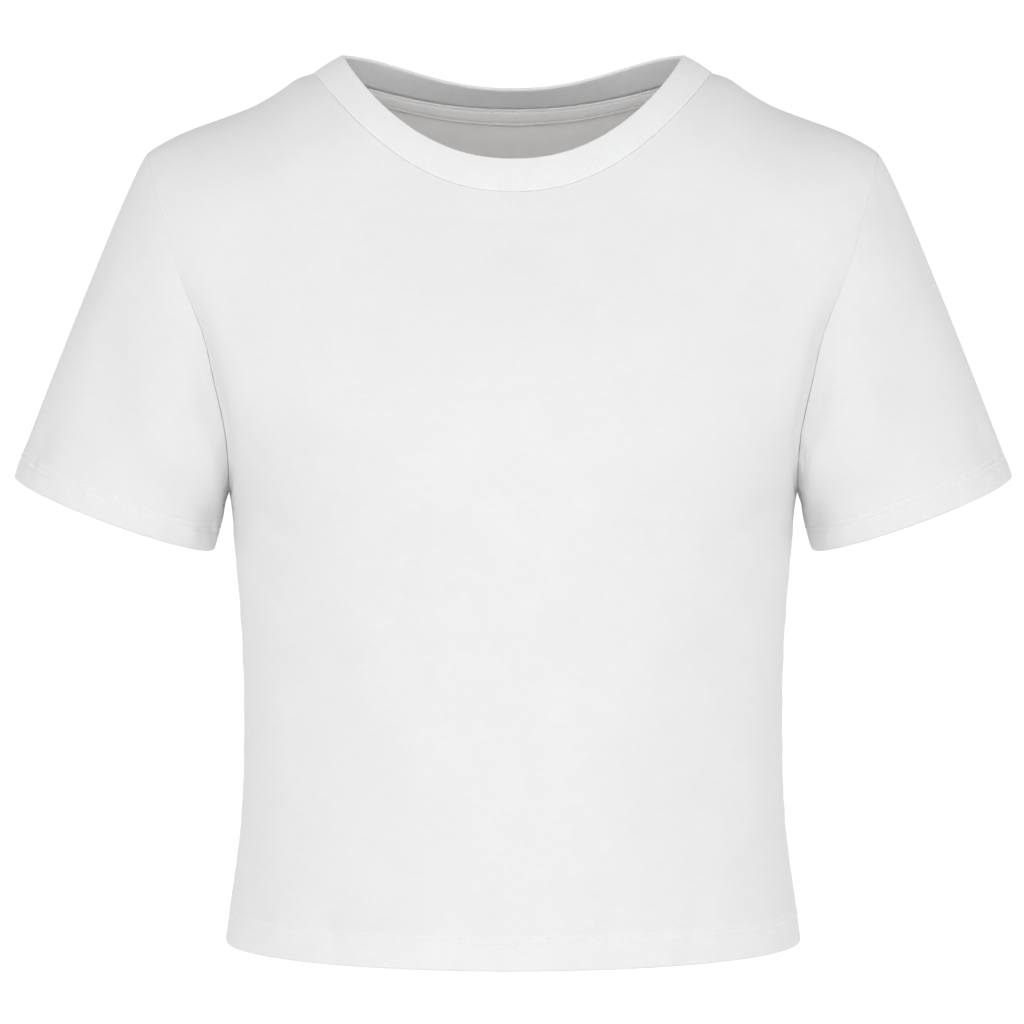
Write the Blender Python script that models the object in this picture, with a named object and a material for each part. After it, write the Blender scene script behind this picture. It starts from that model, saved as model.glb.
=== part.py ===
"""Short-sleeved cropped T-shirt, filled out as if worn, as hollow cloth walls.

Metres, +Z up, the front faces -Y. The origin lies midway between the two points
where the neck rib crosses the shoulders. The front and back panels share one
torso surface, and the two sleeves and the neck rib grow out of its edges, so
every seam has one line in space that both of its pieces are pulled back from.
"""
import math

import bmesh
import bpy
import numpy as np
from mathutils import Vector

# ---- Cloth and seams -------------------------------------------------------
CLOTH = 0.0012          # single jersey wall
FOLDED = 0.0024         # wall where a hem is turned up
SEAM_HALF_GAP = 0.00015  # each piece stays this far from its seam line
BODY_HEM = 0.018        # depth of the body hem
SLEEVE_HEM = 0.015      # depth of the sleeve hems
STEP = 0.0015           # height over which the hem's inner layer ends
RIB_RAISE = 0.0004      # the neck rib stands this much over the panels
RIB_WALL = 0.0021       # neck rib, folded double
TAPE_WIDTH = 0.009
TAPE_WALL = 0.0010
TAPE_GAP = 0.0003       # from the back panel's inner face to the tape
TAPE_DROP = 0.0005      # from the neck seam to the tape's upper edge

# ---- Heights ---------------------------------------------------------------
HEM_Z = -0.469
UNDERARM_Z = -0.232

# ---- Torso: half width and depths of the horizontal ovals, by height --------
# Above the underarm the half width is that of the oval which the armhole cuts.
TORSO_COLUMNS = ("z", "half_width", "front", "back")
TORSO = [
    (-0.469, 0.1526, 0.1135, 0.0980),
    (-0.443, 0.1492, 0.1125, 0.0970),
    (-0.419, 0.1458, 0.1118, 0.0963),
    (-0.395, 0.1436, 0.1118, 0.0963),
    (-0.363, 0.1426, 0.1128, 0.0972),
    (-0.315, 0.1431, 0.1160, 0.0995),
    (-0.284, 0.1450, 0.1190, 0.1018),
    (-0.256, 0.1474, 0.1218, 0.1040),
    (-0.232, 0.1502, 0.1235, 0.1056),
    (-0.215, 0.1560, 0.1240, 0.1066),
    (-0.200, 0.1640, 0.1237, 0.1072),
    (-0.184, 0.1735, 0.1224, 0.1074),
    (-0.160, 0.1855, 0.1182, 0.1066),
    (-0.135, 0.1945, 0.1108, 0.1040),
    (-0.110, 0.2005, 0.1008, 0.0985),
    (-0.090, 0.2048, 0.0915, 0.0918),
    (-0.070, 0.2082, 0.0815, 0.0828),
    (-0.050, 0.2112, 0.0710, 0.0705),
    (-0.034, 0.2134, 0.0620, 0.0590),
    (-0.018, 0.2152, 0.0530, 0.0485),
    (0.000, 0.2170, 0.0430, 0.0400),
]

# ---- Shoulder line: height of the ridge, by distance from the middle --------
RIDGE_COLUMNS = ("x", "z")
RIDGE = [
    (0.000, 0.0300), (0.050, 0.0165), (0.088, 0.0002), (0.1045, -0.0094),
    (0.114, -0.0127), (0.121, -0.0176), (0.1275, -0.0218), (0.135, -0.0261),
    (0.145, -0.0303), (0.156, -0.0343), (0.168, -0.0386), (0.178, -0.0429),
    (0.185, -0.0467), (0.192, -0.0512), (0.206, -0.0610),
]
ROUNDING = 0.068        # the shoulder rounds over within this height
RIDGE_REACH = 0.030     # how far the chart is stretched at the ridge

# ---- Armholes: distance from the middle, by height --------------------------
ARMHOLE_COLUMNS = ("z", "front", "back")
ARMHOLE = [
    (-0.232, 0.1502, 0.1502),
    (-0.217, 0.1490, 0.1502),
    (-0.204, 0.1502, 0.1532),
    (-0.190, 0.1536, 0.1577),
    (-0.175, 0.1575, 0.1625),
    (-0.159, 0.1613, 0.1668),
    (-0.144, 0.1652, 0.1706),
    (-0.128, 0.1698, 0.1744),
    (-0.110, 0.1748, 0.1786),
    (-0.089, 0.1808, 0.1834),
    (-0.071, 0.1862, 0.1878),
    (-0.051, 0.1920, 0.1920),
]
SHOULDER_POINT_X = 0.192

# ---- Neck: each line is an oval seen from above that drops away from the sides
# half width, depth, height at the sides, drop in the middle, how late it drops
NECK_COLUMNS = ("line", "half_width", "depth", "side_z", "drop", "power")
NECK = [
    ("front_seam", 0.1045, 0.0820, -0.0094, 0.0613, 2.35),
    ("back_seam", 0.1045, 0.0520, -0.0094, 0.0176, 3.0),
    ("front_fold", 0.0892, 0.0750, 0.0000, 0.0536, 2.05),
    ("back_fold", 0.0892, 0.0380, 0.0000, 0.0170, 4.2),
]
NECK_FULLNESS = 2.2     # 2 is an ellipse, more is squarer

# ---- Sleeves: the opening, and the lengths and leans of the cloth along them -
CUFF_INNER = Vector((0.1582, 0.0, -0.2610))
CUFF_OUTER = Vector((0.2638, 0.0, -0.2218))
CUFF_HALF_DEPTH = 0.047
CUFF_FRONT_DROP = 0.0025
SLEEVE_AXIS = Vector((0.364, 0.0, -0.931))
LEAVE_COLUMNS = ("where", "x", "y", "z", "cuff_length")
LEAVE = [
    ("top", 0.025, 0.000, -0.024, 0.186),
    ("side", 0.045, 0.010, -0.088, 0.112),
    ("under", 0.008, 0.000, -0.028, 0.029),
]

# ---- Soft folds: troughs and swells, mirrored left to right ------------------
# from x0,z0 to x1,z1, half width across, height out of the cloth (minus is in)
FOLD_COLUMNS = ("name", "face", "x0", "z0", "x1", "z1", "half_width", "height")
FOLDS = [
    ("collar hollow", "front", 0.000, -0.088, 0.000, -0.112, 0.030, -0.0014),
    ("shoulder hollow", "front", 0.146, -0.098, 0.138, -0.140, 0.024, -0.0022),
    ("drape edge", "front", 0.090, -0.272, 0.044, -0.372, 0.016, 0.0013),
    ("side drape", "front", 0.104, -0.330, 0.088, -0.420, 0.030, -0.0022),
    ("side swell", "front", 0.131, -0.300, 0.124, -0.400, 0.012, 0.0012),
    ("armpit drag", "front", 0.139, -0.232, 0.104, -0.258, 0.008, -0.0016),
    ("hem ripple", "front", 0.099, -0.438, 0.091, -0.469, 0.006, -0.0013),
    ("blade hollow", "back", 0.146, -0.110, 0.130, -0.160, 0.024, -0.0024),
    ("spine fall", "back", 0.000, -0.150, 0.000, -0.330, 0.030, -0.0020),
    ("waist drape", "back", 0.092, -0.290, 0.070, -0.430, 0.022, -0.0024),
    ("waist swell", "back", 0.048, -0.320, 0.040, -0.440, 0.016, 0.0014),
    ("armpit drag", "back", 0.140, -0.228, 0.100, -0.262, 0.009, -0.0018),
    ("hem ripple", "back", 0.070, -0.440, 0.066, -0.469, 0.007, -0.0012),
]
# on a sleeve: round (0 top, 0.25 front, 0.5 under, 0.75 back) and along (0 to 1)
SLEEVE_FOLD_COLUMNS = ("name", "round", "along", "round_half", "along_half", "height")
SLEEVE_FOLDS = [
    ("front swell", 0.290, 0.62, 0.070, 0.22, 0.0034),
    ("front dent", 0.150, 0.52, 0.045, 0.16, -0.0020),
    ("crown dent", 0.080, 0.20, 0.040, 0.10, -0.0012),
    ("cuff dent", 0.075, 0.84, 0.040, 0.07, -0.0012),
    ("back swell", 0.700, 0.58, 0.070, 0.22, 0.0026),
    ("back dent", 0.850, 0.45, 0.050, 0.16, -0.0018),
]

# ---- How finely each piece is divided ----------------------------------------
NECK_COLUMNS_HALF = 10  # of a panel and of the rib, under half a neckline
SHOULDER_COLUMNS = 8    # of a panel, under one shoulder seam
ARMHOLE_ROWS = 15       # of a panel, and of half a sleeve; the last is the tape's
BODY_ROWS = (
    HEM_Z, -0.460, HEM_Z + BODY_HEM, HEM_Z + BODY_HEM + STEP, -0.430, -0.405, -0.378,
    -0.350, -0.322, -0.296, -0.272, -0.251, UNDERARM_Z,
)
SLEEVE_ROWS = 9
RIB_BENDS = 3           # parts of a quarter turn at the rib's fold

RIGHT, LEFT = 1, -1     # the side of +X and the side of -X
SMALL = 0.0004          # step for slopes


# ---- Tables read as smooth curves --------------------------------------------
def smooth_curve(columns, rows, key, value):
    """Natural cubic curve through one column of a table against another."""
    points = sorted((row[columns.index(key)], row[columns.index(value)]) for row in rows)
    x = np.array([p[0] for p in points])
    y = np.array([p[1] for p in points])
    gap = np.diff(x)
    slope = np.diff(y) / gap
    matrix = np.eye(len(x))
    right = np.zeros(len(x))
    for i in range(1, len(x) - 1):
        matrix[i, i - 1:i + 2] = gap[i - 1], 2 * (gap[i - 1] + gap[i]), gap[i]
        right[i] = 3 * (slope[i] - slope[i - 1])
    bend = np.linalg.solve(matrix, right)

    def read(at):
        i = int(np.clip(np.searchsorted(x, at) - 1, 0, len(gap) - 1))
        d = at - x[i]
        first = slope[i] - gap[i] * (2 * bend[i] + bend[i + 1]) / 3
        third = (bend[i + 1] - bend[i]) / (3 * gap[i])
        return float(y[i] + d * (first + d * (bend[i] + d * third)))

    return read


half_width = smooth_curve(TORSO_COLUMNS, TORSO, "z", "half_width")
depth = {face: smooth_curve(TORSO_COLUMNS, TORSO, "z", face) for face in ("front", "back")}
ridge_z = smooth_curve(RIDGE_COLUMNS, RIDGE, "x", "z")
armhole_x = {
    face: smooth_curve(ARMHOLE_COLUMNS, ARMHOLE, "z", face) for face in ("front", "back")
}
FACING = {"front": -1, "back": 1}
NECK_LINE = {row[0]: dict(zip(NECK_COLUMNS[1:], row[1:])) for row in NECK}


def ease(value):
    """0 below 0, 1 above 1 and smooth between."""
    value = min(max(value, 0.0), 1.0)
    return value * value * (3 - 2 * value)


# ---- Torso surface -----------------------------------------------------------
# A point is named on a flat chart (q, v). q is the girth from the middle line,
# v is the height, stretched near the shoulder ridge where the cloth turns over.
def chart_of(x, z):
    """Chart place of the torso point at x, z seen from the front."""
    width = half_width(z)
    q = width * math.asin(min(x / width, 1.0)) / (math.pi / 2)
    fall = math.sqrt(max(ridge_z(x) - z, 0.0) / ROUNDING)
    return q, z + RIDGE_REACH * max(1 - fall, 0.0) ** 2


def torso(face, q, v):
    """Point of the torso surface at a chart place, q positive to the right."""
    side = -1 if q < 0 else 1
    q = abs(q)
    z = v
    for _ in range(12):
        width = half_width(z)
        x = width * math.sin(q * math.pi / 2 / width)
        top = ridge_z(x)
        fall = 1.0
        z = v
        if v > top - ROUNDING:
            span = ROUNDING - RIDGE_REACH
            reach = RIDGE_REACH + top - v
            root = math.sqrt(max(RIDGE_REACH ** 2 + span * reach, 0.0))
            fall = (root - RIDGE_REACH) / span
            z = top - ROUNDING * fall * fall
    over = fall * math.sqrt(3 - 3 * fall ** 2 + fall ** 4)
    y = depth[face](z) * math.cos(q * math.pi / 2 / width) * over
    return Vector((side * x, FACING[face] * y, z))


def torso_normal(face, q, v):
    """Outward direction of the torso surface."""
    across = torso(face, q + SMALL, v) - torso(face, q - SMALL, v)
    up = torso(face, q, v + SMALL) - torso(face, q, v - SMALL)
    return (across.cross(up) * -FACING[face]).normalized()


# ---- Lines of the neck -------------------------------------------------------
def oval(half, deep, angle):
    """Plan of a squarish oval: 0 is the middle of the face, pi/2 the side."""
    power = 2 / NECK_FULLNESS
    return half * abs(math.sin(angle)) ** power, deep * abs(math.cos(angle)) ** power


def even_angles(line, count):
    """Angles from the middle to the side that part the line into equal lengths."""
    fine = [i * math.pi / 2 / 600 for i in range(601)]
    points = [neck_point(line, angle) for angle in fine]
    run = np.concatenate(
        ([0.0], np.cumsum([(b - a).length for a, b in zip(points, points[1:])]))
    )
    return [float(np.interp(run[-1] * i / count, run, fine)) for i in range(count + 1)]


def neck_point(line, angle):
    """Point of one named neck line, on the right half."""
    row = NECK_LINE[line]
    x, y = oval(row["half_width"], row["depth"], angle)
    z = row["side_z"] - row["drop"] * (y / row["depth"]) ** row["power"]
    face = line.split("_")[0]
    return Vector((x, FACING[face] * y, z))


def neck_chart(face, angle):
    """Chart place of the neck seam."""
    point = neck_point(face + "_seam", angle)
    return chart_of(point.x, min(point.z, ridge_z(point.x)))


# ---- Edges of a panel on the chart -------------------------------------------
def top_edges(face):
    """Neckline from the middle to the shoulder, then the shoulder seam."""
    edge = [neck_chart(face, angle) for angle in even_angles(face + "_seam", NECK_COLUMNS_HALF)]
    start = NECK_LINE[face + "_seam"]["half_width"]
    for i in range(1, SHOULDER_COLUMNS + 1):
        x = start + (SHOULDER_POINT_X - start) * i / SHOULDER_COLUMNS
        edge.append(chart_of(x, ridge_z(x)))
    return edge


def armhole_chart(face, along):
    """Chart place on the armhole, 0 at the underarm and 1 at the shoulder point."""
    if along >= 1:
        return chart_of(SHOULDER_POINT_X, ridge_z(SHOULDER_POINT_X))
    if along <= 0:
        return half_width(UNDERARM_Z), UNDERARM_Z
    top = ridge_z(SHOULDER_POINT_X)
    z = UNDERARM_Z + (top - UNDERARM_Z) * (1 - math.cos(math.pi * along)) / 2
    return chart_of(armhole_x[face](z), z)


def armhole_share(row):
    """Share of the armhole below a row. The top row is as deep as the neck tape."""
    middle = NECK_LINE["back_seam"]["side_z"] - NECK_LINE["back_seam"]["drop"]
    below_tape = 1 - TAPE_WIDTH / (middle - UNDERARM_Z)
    return 1.0 if row == ARMHOLE_ROWS else below_tape * row / (ARMHOLE_ROWS - 1)


def panel_chart(face):
    """Rows of chart places for the right half, hem first."""
    columns = NECK_COLUMNS_HALF + SHOULDER_COLUMNS
    rows = [[(half_width(z) * i / columns, z) for i in range(columns + 1)] for z in BODY_ROWS]
    bottom, top = rows[-1], top_edges(face)
    corners = bottom[0], bottom[-1], top[0], top[-1]
    for j in range(1, ARMHOLE_ROWS + 1):
        w = armhole_share(j)
        middle = (0.0, UNDERARM_Z + (top[0][1] - UNDERARM_Z) * w)
        outer = armhole_chart(face, w)
        row = []
        for i in range(columns + 1):
            t = i / columns
            place = []
            for k in (0, 1):
                ruled = (1 - w) * bottom[i][k] + w * top[i][k]
                ruled += (1 - t) * middle[k] + t * outer[k]
                ruled -= (1 - w) * ((1 - t) * corners[0][k] + t * corners[1][k])
                ruled -= w * ((1 - t) * corners[2][k] + t * corners[3][k])
                place.append(ruled)
            row.append(tuple(place))
        rows.append(row)
    return rows


# ---- Folds -------------------------------------------------------------------
def fold_height(face, x, z):
    """How far the soft folds push the cloth out at a place of a panel."""
    total = 0.0
    for row in FOLDS:
        fold = dict(zip(FOLD_COLUMNS, row))
        if fold["face"] != face:
            continue
        start = Vector((fold["x0"], fold["z0"]))
        run = Vector((fold["x1"], fold["z1"])) - start
        offset = Vector((abs(x), z)) - start
        along = min(max(offset.dot(run) / run.length_squared, 0.0), 1.0)
        off = (offset - run * along).length / fold["half_width"]
        total += fold["height"] * math.exp(-off * off) * (0.55 + 0.45 * math.sin(math.pi * along))
    return total


def sleeve_fold_height(around, along):
    """How far the soft folds push the cloth out at a place of a sleeve."""
    total = 0.0
    for row in SLEEVE_FOLDS:
        fold = dict(zip(SLEEVE_FOLD_COLUMNS, row))
        turn = (around - fold["round"] + 0.5) % 1 - 0.5
        off = (turn / fold["round_half"]) ** 2 + ((along - fold["along"]) / fold["along_half"]) ** 2
        total += fold["height"] * math.exp(-off)
    return total


# ---- Sleeve surface ----------------------------------------------------------
def armhole_point(around):
    """Armhole of the right sleeve: 0 shoulder point, then front, underarm, back."""
    face = "front" if around <= 0.5 else "back"
    along = abs(1 - 2 * around)
    return torso(face, *armhole_chart(face, along))


def armhole_panel_normal(around):
    """Outward direction of the panel at the armhole."""
    face = "front" if around <= 0.5 else "back"
    return torso_normal(face, *armhole_chart(face, abs(1 - 2 * around)))


def cuff_point(around):
    """Opening of the right sleeve."""
    turn = 2 * math.pi * around
    chord = (CUFF_OUTER - CUFF_INNER) / 2
    point = (CUFF_OUTER + CUFF_INNER) / 2 + chord * math.cos(turn)
    drop = CUFF_FRONT_DROP * math.sin(turn)
    return point + Vector((0, -CUFF_HALF_DEPTH * math.sin(turn), -drop))


def sleeve(around, along):
    """Point of the right sleeve, along runs from the armhole to the opening."""
    around %= 1.0
    turn = 2 * math.pi * around
    weight = {
        "top": max(math.cos(turn), 0) ** 2,
        "side": math.sin(turn) ** 2,
        "under": max(-math.cos(turn), 0) ** 2,
    }
    leave = Vector()
    length = 0.0
    for where, x, y, z, cuff_length in LEAVE:
        leave += weight[where] * Vector((x, y * math.sin(turn), z))
        length += weight[where] * cuff_length
    s, s2, s3 = along, along ** 2, along ** 3
    return (
        (2 * s3 - 3 * s2 + 1) * armhole_point(around)
        + (s3 - 2 * s2 + s) * leave
        + (3 * s2 - 2 * s3) * cuff_point(around)
        + (s3 - s2) * length * SLEEVE_AXIS
    )


def sleeve_normal(around, along):
    """Outward direction of the right sleeve."""
    low, high = max(along - 0.004, 0.0), min(along + 0.004, 1.0)
    down = sleeve(around, high) - sleeve(around, low)
    turn = sleeve(around + 0.002, along) - sleeve(around - 0.002, along)
    return turn.cross(down).normalized()


def cuff_share(around):
    """Share of the sleeve's run that the hem takes up."""
    steps = [sleeve(around, 1 - i * 0.02) for i in range(40)]
    run = 0.0
    for i in range(1, 40):
        piece = (steps[i] - steps[i - 1]).length
        if run + piece >= SLEEVE_HEM:
            return 0.02 * (i - 1 + (SLEEVE_HEM - run) / piece)
        run += piece
    return 0.78


# ---- Armhole seam: how both pieces part there --------------------------------
def armhole_seam(around):
    """Direction from panel to sleeve, and the directions their cut edges face."""
    before = armhole_point((around - 0.002) % 1.0)
    after = armhole_point((around + 0.002) % 1.0)
    tangent = (after - before).normalized()
    panel = armhole_panel_normal(around)
    cloth = sleeve_normal(around, 0.006)
    cloth = (cloth - tangent * cloth.dot(tangent)).normalized()
    panel = (panel - tangent * panel.dot(tangent)).normalized()
    apart = (panel + cloth).cross(tangent).normalized()
    if cloth.dot(apart) > panel.dot(apart):
        panel = cloth = (panel + cloth).normalized()
    return apart, panel, cloth


# ---- Meshes ------------------------------------------------------------------
def material(name, colour, roughness):
    made = bpy.data.materials.new(name)
    made.use_nodes = True
    shader = made.node_tree.nodes["Principled BSDF"]
    shader.inputs["Base Color"].default_value = (*colour, 1.0)
    shader.inputs["Roughness"].default_value = roughness
    shader.inputs["Metallic"].default_value = 0.0
    return made


def finished(name, bm, finish):
    """The bmesh as an object of its own, faces outward and shaded smooth."""
    bmesh.ops.recalc_face_normals(bm, faces=bm.faces)
    mesh = bpy.data.meshes.new(name)
    bm.to_mesh(mesh)
    bm.free()
    made = bpy.data.objects.new(name, mesh)
    bpy.context.scene.collection.objects.link(made)
    mesh.materials.append(finish)
    mesh.shade_smooth()
    mesh.set_sharp_from_angle(angle=math.radians(50))
    return made


def cloth_wall(name, outer, inner, closed, finish):
    """A wall between two sheets of points, given as rows of equal length."""
    rows, columns = len(outer), len(outer[0])
    bm = bmesh.new()
    bmesh.ops.create_grid(bm, x_segments=columns - 1, y_segments=rows - 1, size=0.5)
    place = {}
    for vert in bm.verts:
        column = round((vert.co.x + 0.5) * (columns - 1))
        row = round((vert.co.y + 0.5) * (rows - 1))
        place[vert] = row, column
    copied = bmesh.ops.duplicate(bm, geom=bm.verts[:] + bm.edges[:] + bm.faces[:])
    twin = {old: new for old, new in copied["vert_map"].items() if old in place}
    for old, new in twin.items():
        row, column = place[old]
        old.co = outer[row][column]
        new.co = inner[row][column]
    for edge in [e for e in bm.edges if e.is_boundary and e.verts[0] in twin]:
        a, b = edge.verts
        if closed and place[a][1] == place[b][1]:
            continue
        bm.faces.new((a, b, twin[b], twin[a]))
    if closed:
        bmesh.ops.remove_doubles(bm, verts=bm.verts, dist=1e-6)
    return finished(name, bm, finish)


def panel_sheets(face):
    """Outer and inner points of a panel, rows from the hem up, left to right."""
    chart = panel_chart(face)
    columns = len(chart[0]) - 1
    underarm, last = len(BODY_ROWS) - 1, len(chart) - 1
    angles = even_angles(face + "_seam", NECK_COLUMNS_HALF)
    away = Vector((0, FACING[face], 0))
    outer, inner = [], []
    for j, row in enumerate(chart):
        above = armhole_share(max(j - underarm, 0))
        around = (1 - above) / 2 if face == "front" else (1 + above) / 2
        half = []
        for i, (q, v) in enumerate(row):
            point = torso(face, q, v)
            normal = torso_normal(face, q, v)
            quiet = ease((1 - i / columns) / 0.15) * ease((1 - above) / 0.25)
            point += normal * fold_height(face, point.x, point.z) * quiet
            thick = FOLDED if point.z < HEM_Z + BODY_HEM + 0.0002 else CLOTH
            pull = Vector()
            if i == columns and j <= underarm or j == last and i >= NECK_COLUMNS_HALF:
                pull += away
            if i == columns and j >= underarm:
                apart, normal, _ = armhole_seam(around)
                pull -= apart
            if j == last and i <= NECK_COLUMNS_HALF:
                frame = rib_frame(face, angles[i])
                pull -= frame["up"]
                normal = frame["edge"]
            point += pull * SEAM_HALF_GAP
            half.append((point, point - normal * thick))
        for sheet, k in ((outer, 0), (inner, 1)):
            right = [pair[k] for pair in half]
            left = [Vector((-p.x, p.y, p.z)) for p in right[:0:-1]]
            sheet.append(left + right)
    return outer, inner


def make_panel(face, finish):
    """Front or back: shoulder seams, neckline, armholes, side seams and hem."""
    outer, inner = panel_sheets(face)
    return cloth_wall(face + "_panel", outer, inner, False, finish)


def make_sleeve(side, finish):
    """Set-in sleeve: a tube from the armhole to its hemmed opening."""
    rows = [("run", j / SLEEVE_ROWS) for j in range(SLEEVE_ROWS + 1)]
    rows += [("hem", 0.0), ("hem", 0.5), ("hem", 1.0)]
    outer, inner = [[] for _ in rows], [[] for _ in rows]
    front = [(1 - armhole_share(j)) / 2 for j in range(ARMHOLE_ROWS, 0, -1)]
    back = [(1 + armhole_share(j)) / 2 for j in range(ARMHOLE_ROWS)]
    for around in front + back + front[:1]:
        share = cuff_share(around)
        step = share * (1 + STEP / SLEEVE_HEM)
        apart, _, edge_normal = armhole_seam(around)
        for j, (part, value) in enumerate(rows):
            along = value * (1 - step) if part == "run" else 1 - share * (1 - value)
            point = sleeve(around, along)
            normal = sleeve_normal(around, along)
            quiet = ease(along / 0.15)
            point += normal * sleeve_fold_height(around, along) * quiet
            if j == 0:
                point += apart * SEAM_HALF_GAP
                normal = edge_normal
            back = point - normal * (CLOTH if part == "run" else FOLDED)
            outer[j].append(Vector((side * point.x, point.y, point.z)))
            inner[j].append(Vector((side * back.x, back.y, back.z)))
    name = "sleeve_right" if side == RIGHT else "sleeve_left"
    return cloth_wall(name, outer, inner, True, finish)


def rib_frame(face, angle):
    """Place of the neck rib on its seam, and its directions there."""
    seam = torso(face, *neck_chart(face, angle))
    fold = neck_point(face + "_fold", angle)
    up = (fold - seam).normalized()
    step = 0.01
    if angle < step:
        tangent = Vector((1, 0, 0))
    elif angle > math.pi / 2 - step:
        tangent = Vector((0, -FACING[face], 0))
    else:
        tangent = torso(face, *neck_chart(face, angle + step))
        tangent -= torso(face, *neck_chart(face, angle - step))
    out = (tangent.cross(up) * -FACING[face]).normalized()
    edge = (out + torso_normal(face, *neck_chart(face, angle))).normalized()
    return {"seam": seam, "up": up, "out": out, "edge": edge, "width": (fold - seam).length}


def rib_section(face, angle):
    """Closed outline of the rib at one place: up the outside, over, down the inside."""
    frame = rib_frame(face, angle)
    radius = RIB_WALL / 2
    straight = frame["width"] - radius
    places = [(straight / 2, radius)]
    for k in range(2 * RIB_BENDS + 1):
        bend = math.pi / 2 * k / RIB_BENDS
        places.append((straight + radius * math.sin(bend), radius * math.cos(bend)))
    places.append((straight / 2, -radius))
    middle = frame["seam"] + frame["out"] * (RIB_RAISE - radius)
    outline = [middle + frame["up"] * rise + frame["out"] * swell for rise, swell in places]
    foot = frame["seam"] + frame["up"] * SEAM_HALF_GAP
    outer_foot = foot + frame["edge"] * RIB_RAISE
    inner_foot = foot - frame["edge"] * (RIB_WALL - RIB_RAISE)
    return [outer_foot] + outline + [inner_foot]


def make_rib(finish):
    """Neck rib: a folded band from the seam up to its rounded fold."""
    loops = []
    for face, order in (("front", 1), ("back", -1)):
        half = [
            rib_section(face, angle)
            for angle in even_angles(face + "_seam", NECK_COLUMNS_HALF)
        ][::order]
        loops += half[:-1]
    mirrored = [[Vector((-p.x, p.y, p.z)) for p in loop] for loop in loops[1:]]
    middle_back = rib_section("back", 0.0)
    loops = loops + [middle_back] + mirrored[::-1]
    around, section = len(loops), len(loops[0])
    bm = bmesh.new()
    bmesh.ops.create_grid(bm, x_segments=section, y_segments=around, size=0.5)
    for vert in bm.verts:
        k = round((vert.co.x + 0.5) * section) % section
        i = round((vert.co.y + 0.5) * around) % around
        vert.co = loops[i][k]
    bmesh.ops.remove_doubles(bm, verts=bm.verts, dist=1e-6)
    return finished("neck_rib", bm, finish)


def make_tape(finish):
    """Neck tape: a narrow strip inside the back, just under the neck seam."""
    panel_outer, panel_inner = panel_sheets("back")
    middle = len(panel_inner[0]) // 2
    outer, inner = [[], []], [[], []]
    for i in range(middle - NECK_COLUMNS_HALF + 1, middle + NECK_COLUMNS_HALF):
        for j in (0, 1):
            place = panel_inner[j - 2][i]
            inward = (place - panel_outer[j - 2][i]).normalized()
            if j == 1:
                place = place.lerp(panel_inner[-2][i], TAPE_DROP / TAPE_WIDTH)
            outer[j].append(place + inward * TAPE_GAP)
            inner[j].append(place + inward * (TAPE_GAP + TAPE_WALL))
    return cloth_wall("neck_tape", outer, inner, False, finish)


for existing in list(bpy.data.objects):
    bpy.data.objects.remove(existing, do_unlink=True)

make_panel("front", material("front_jersey", (0.86, 0.86, 0.87), 0.9))
make_panel("back", material("back_jersey", (0.86, 0.86, 0.87), 0.9))
make_sleeve(RIGHT, material("right_sleeve_jersey", (0.86, 0.86, 0.87), 0.9))
make_sleeve(LEFT, material("left_sleeve_jersey", (0.86, 0.86, 0.87), 0.9))
make_rib(material("neck_rib_knit", (0.86, 0.86, 0.87), 0.92))
make_tape(material("neck_tape_weave", (0.84, 0.84, 0.85), 0.85))
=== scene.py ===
# %% [markdown]
# # A cropped T-shirt, filled out as if worn
# This lesson dresses a plain white short-sleeved crop top. The garment's hard model
# has already been made and measured: six closed walls, one for each piece that a
# maker cuts. Here each wall is replaced by a sheet of cloth that lies on the same
# form, with its folds, turned hems, seams, stitches and knit. Everything is in
# metres, +Z is up and the front of the shirt faces -Y.

# %% Load the measured model
import math

import bmesh
import bpy
import numpy as np
from mathutils import Matrix, Vector


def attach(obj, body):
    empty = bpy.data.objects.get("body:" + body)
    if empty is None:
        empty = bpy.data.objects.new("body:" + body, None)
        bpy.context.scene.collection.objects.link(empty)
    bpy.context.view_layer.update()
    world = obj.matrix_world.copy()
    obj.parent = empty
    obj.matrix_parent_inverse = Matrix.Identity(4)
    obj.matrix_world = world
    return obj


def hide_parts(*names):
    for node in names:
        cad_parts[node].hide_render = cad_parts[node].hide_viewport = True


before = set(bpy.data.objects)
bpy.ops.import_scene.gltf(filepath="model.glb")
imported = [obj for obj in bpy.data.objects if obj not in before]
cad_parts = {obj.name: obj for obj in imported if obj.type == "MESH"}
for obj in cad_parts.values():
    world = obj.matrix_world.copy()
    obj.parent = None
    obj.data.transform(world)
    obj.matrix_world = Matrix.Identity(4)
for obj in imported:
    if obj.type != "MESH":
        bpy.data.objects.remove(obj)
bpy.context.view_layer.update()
print("pieces of the model:", ", ".join(sorted(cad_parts)))

# %% [markdown]
# ## The camera
# The shirt is seen straight on, from a little above its middle, through a long lens.
# A long lens from three metres keeps the near and the far side of the neckline almost
# the same size, as in a picture for a shop.

# %% Camera
EYE = Vector((-0.0006, -3.0, -0.037))
AIM = Vector((-0.0006, 0.0, -0.2409))
FOCAL_LENGTH = 199.86       # mm
camera_lens = bpy.data.cameras.new("shop_camera")
camera_lens.lens = FOCAL_LENGTH
camera_lens.sensor_width = 36.0
camera_lens.clip_start = 0.1
camera_lens.clip_end = 60.0
camera = bpy.data.objects.new("shop_camera", camera_lens)
bpy.context.scene.collection.objects.link(camera)
camera.location = EYE
camera.rotation_euler = (AIM - EYE).to_track_quat("-Z", "Y").to_euler()
bpy.context.scene.camera = camera
print("camera", round((AIM - EYE).length, 3), "m from the shirt")

# %% [markdown]
# ## The sizes of the shirt
# The same short tables that shaped the hard model shape the cloth, so both agree.
# The torso is a stack of ovals, the shoulders are a ridge line, the armholes and the
# neck are lines on that surface, and the sleeves are tubes that leave the armholes.

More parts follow.
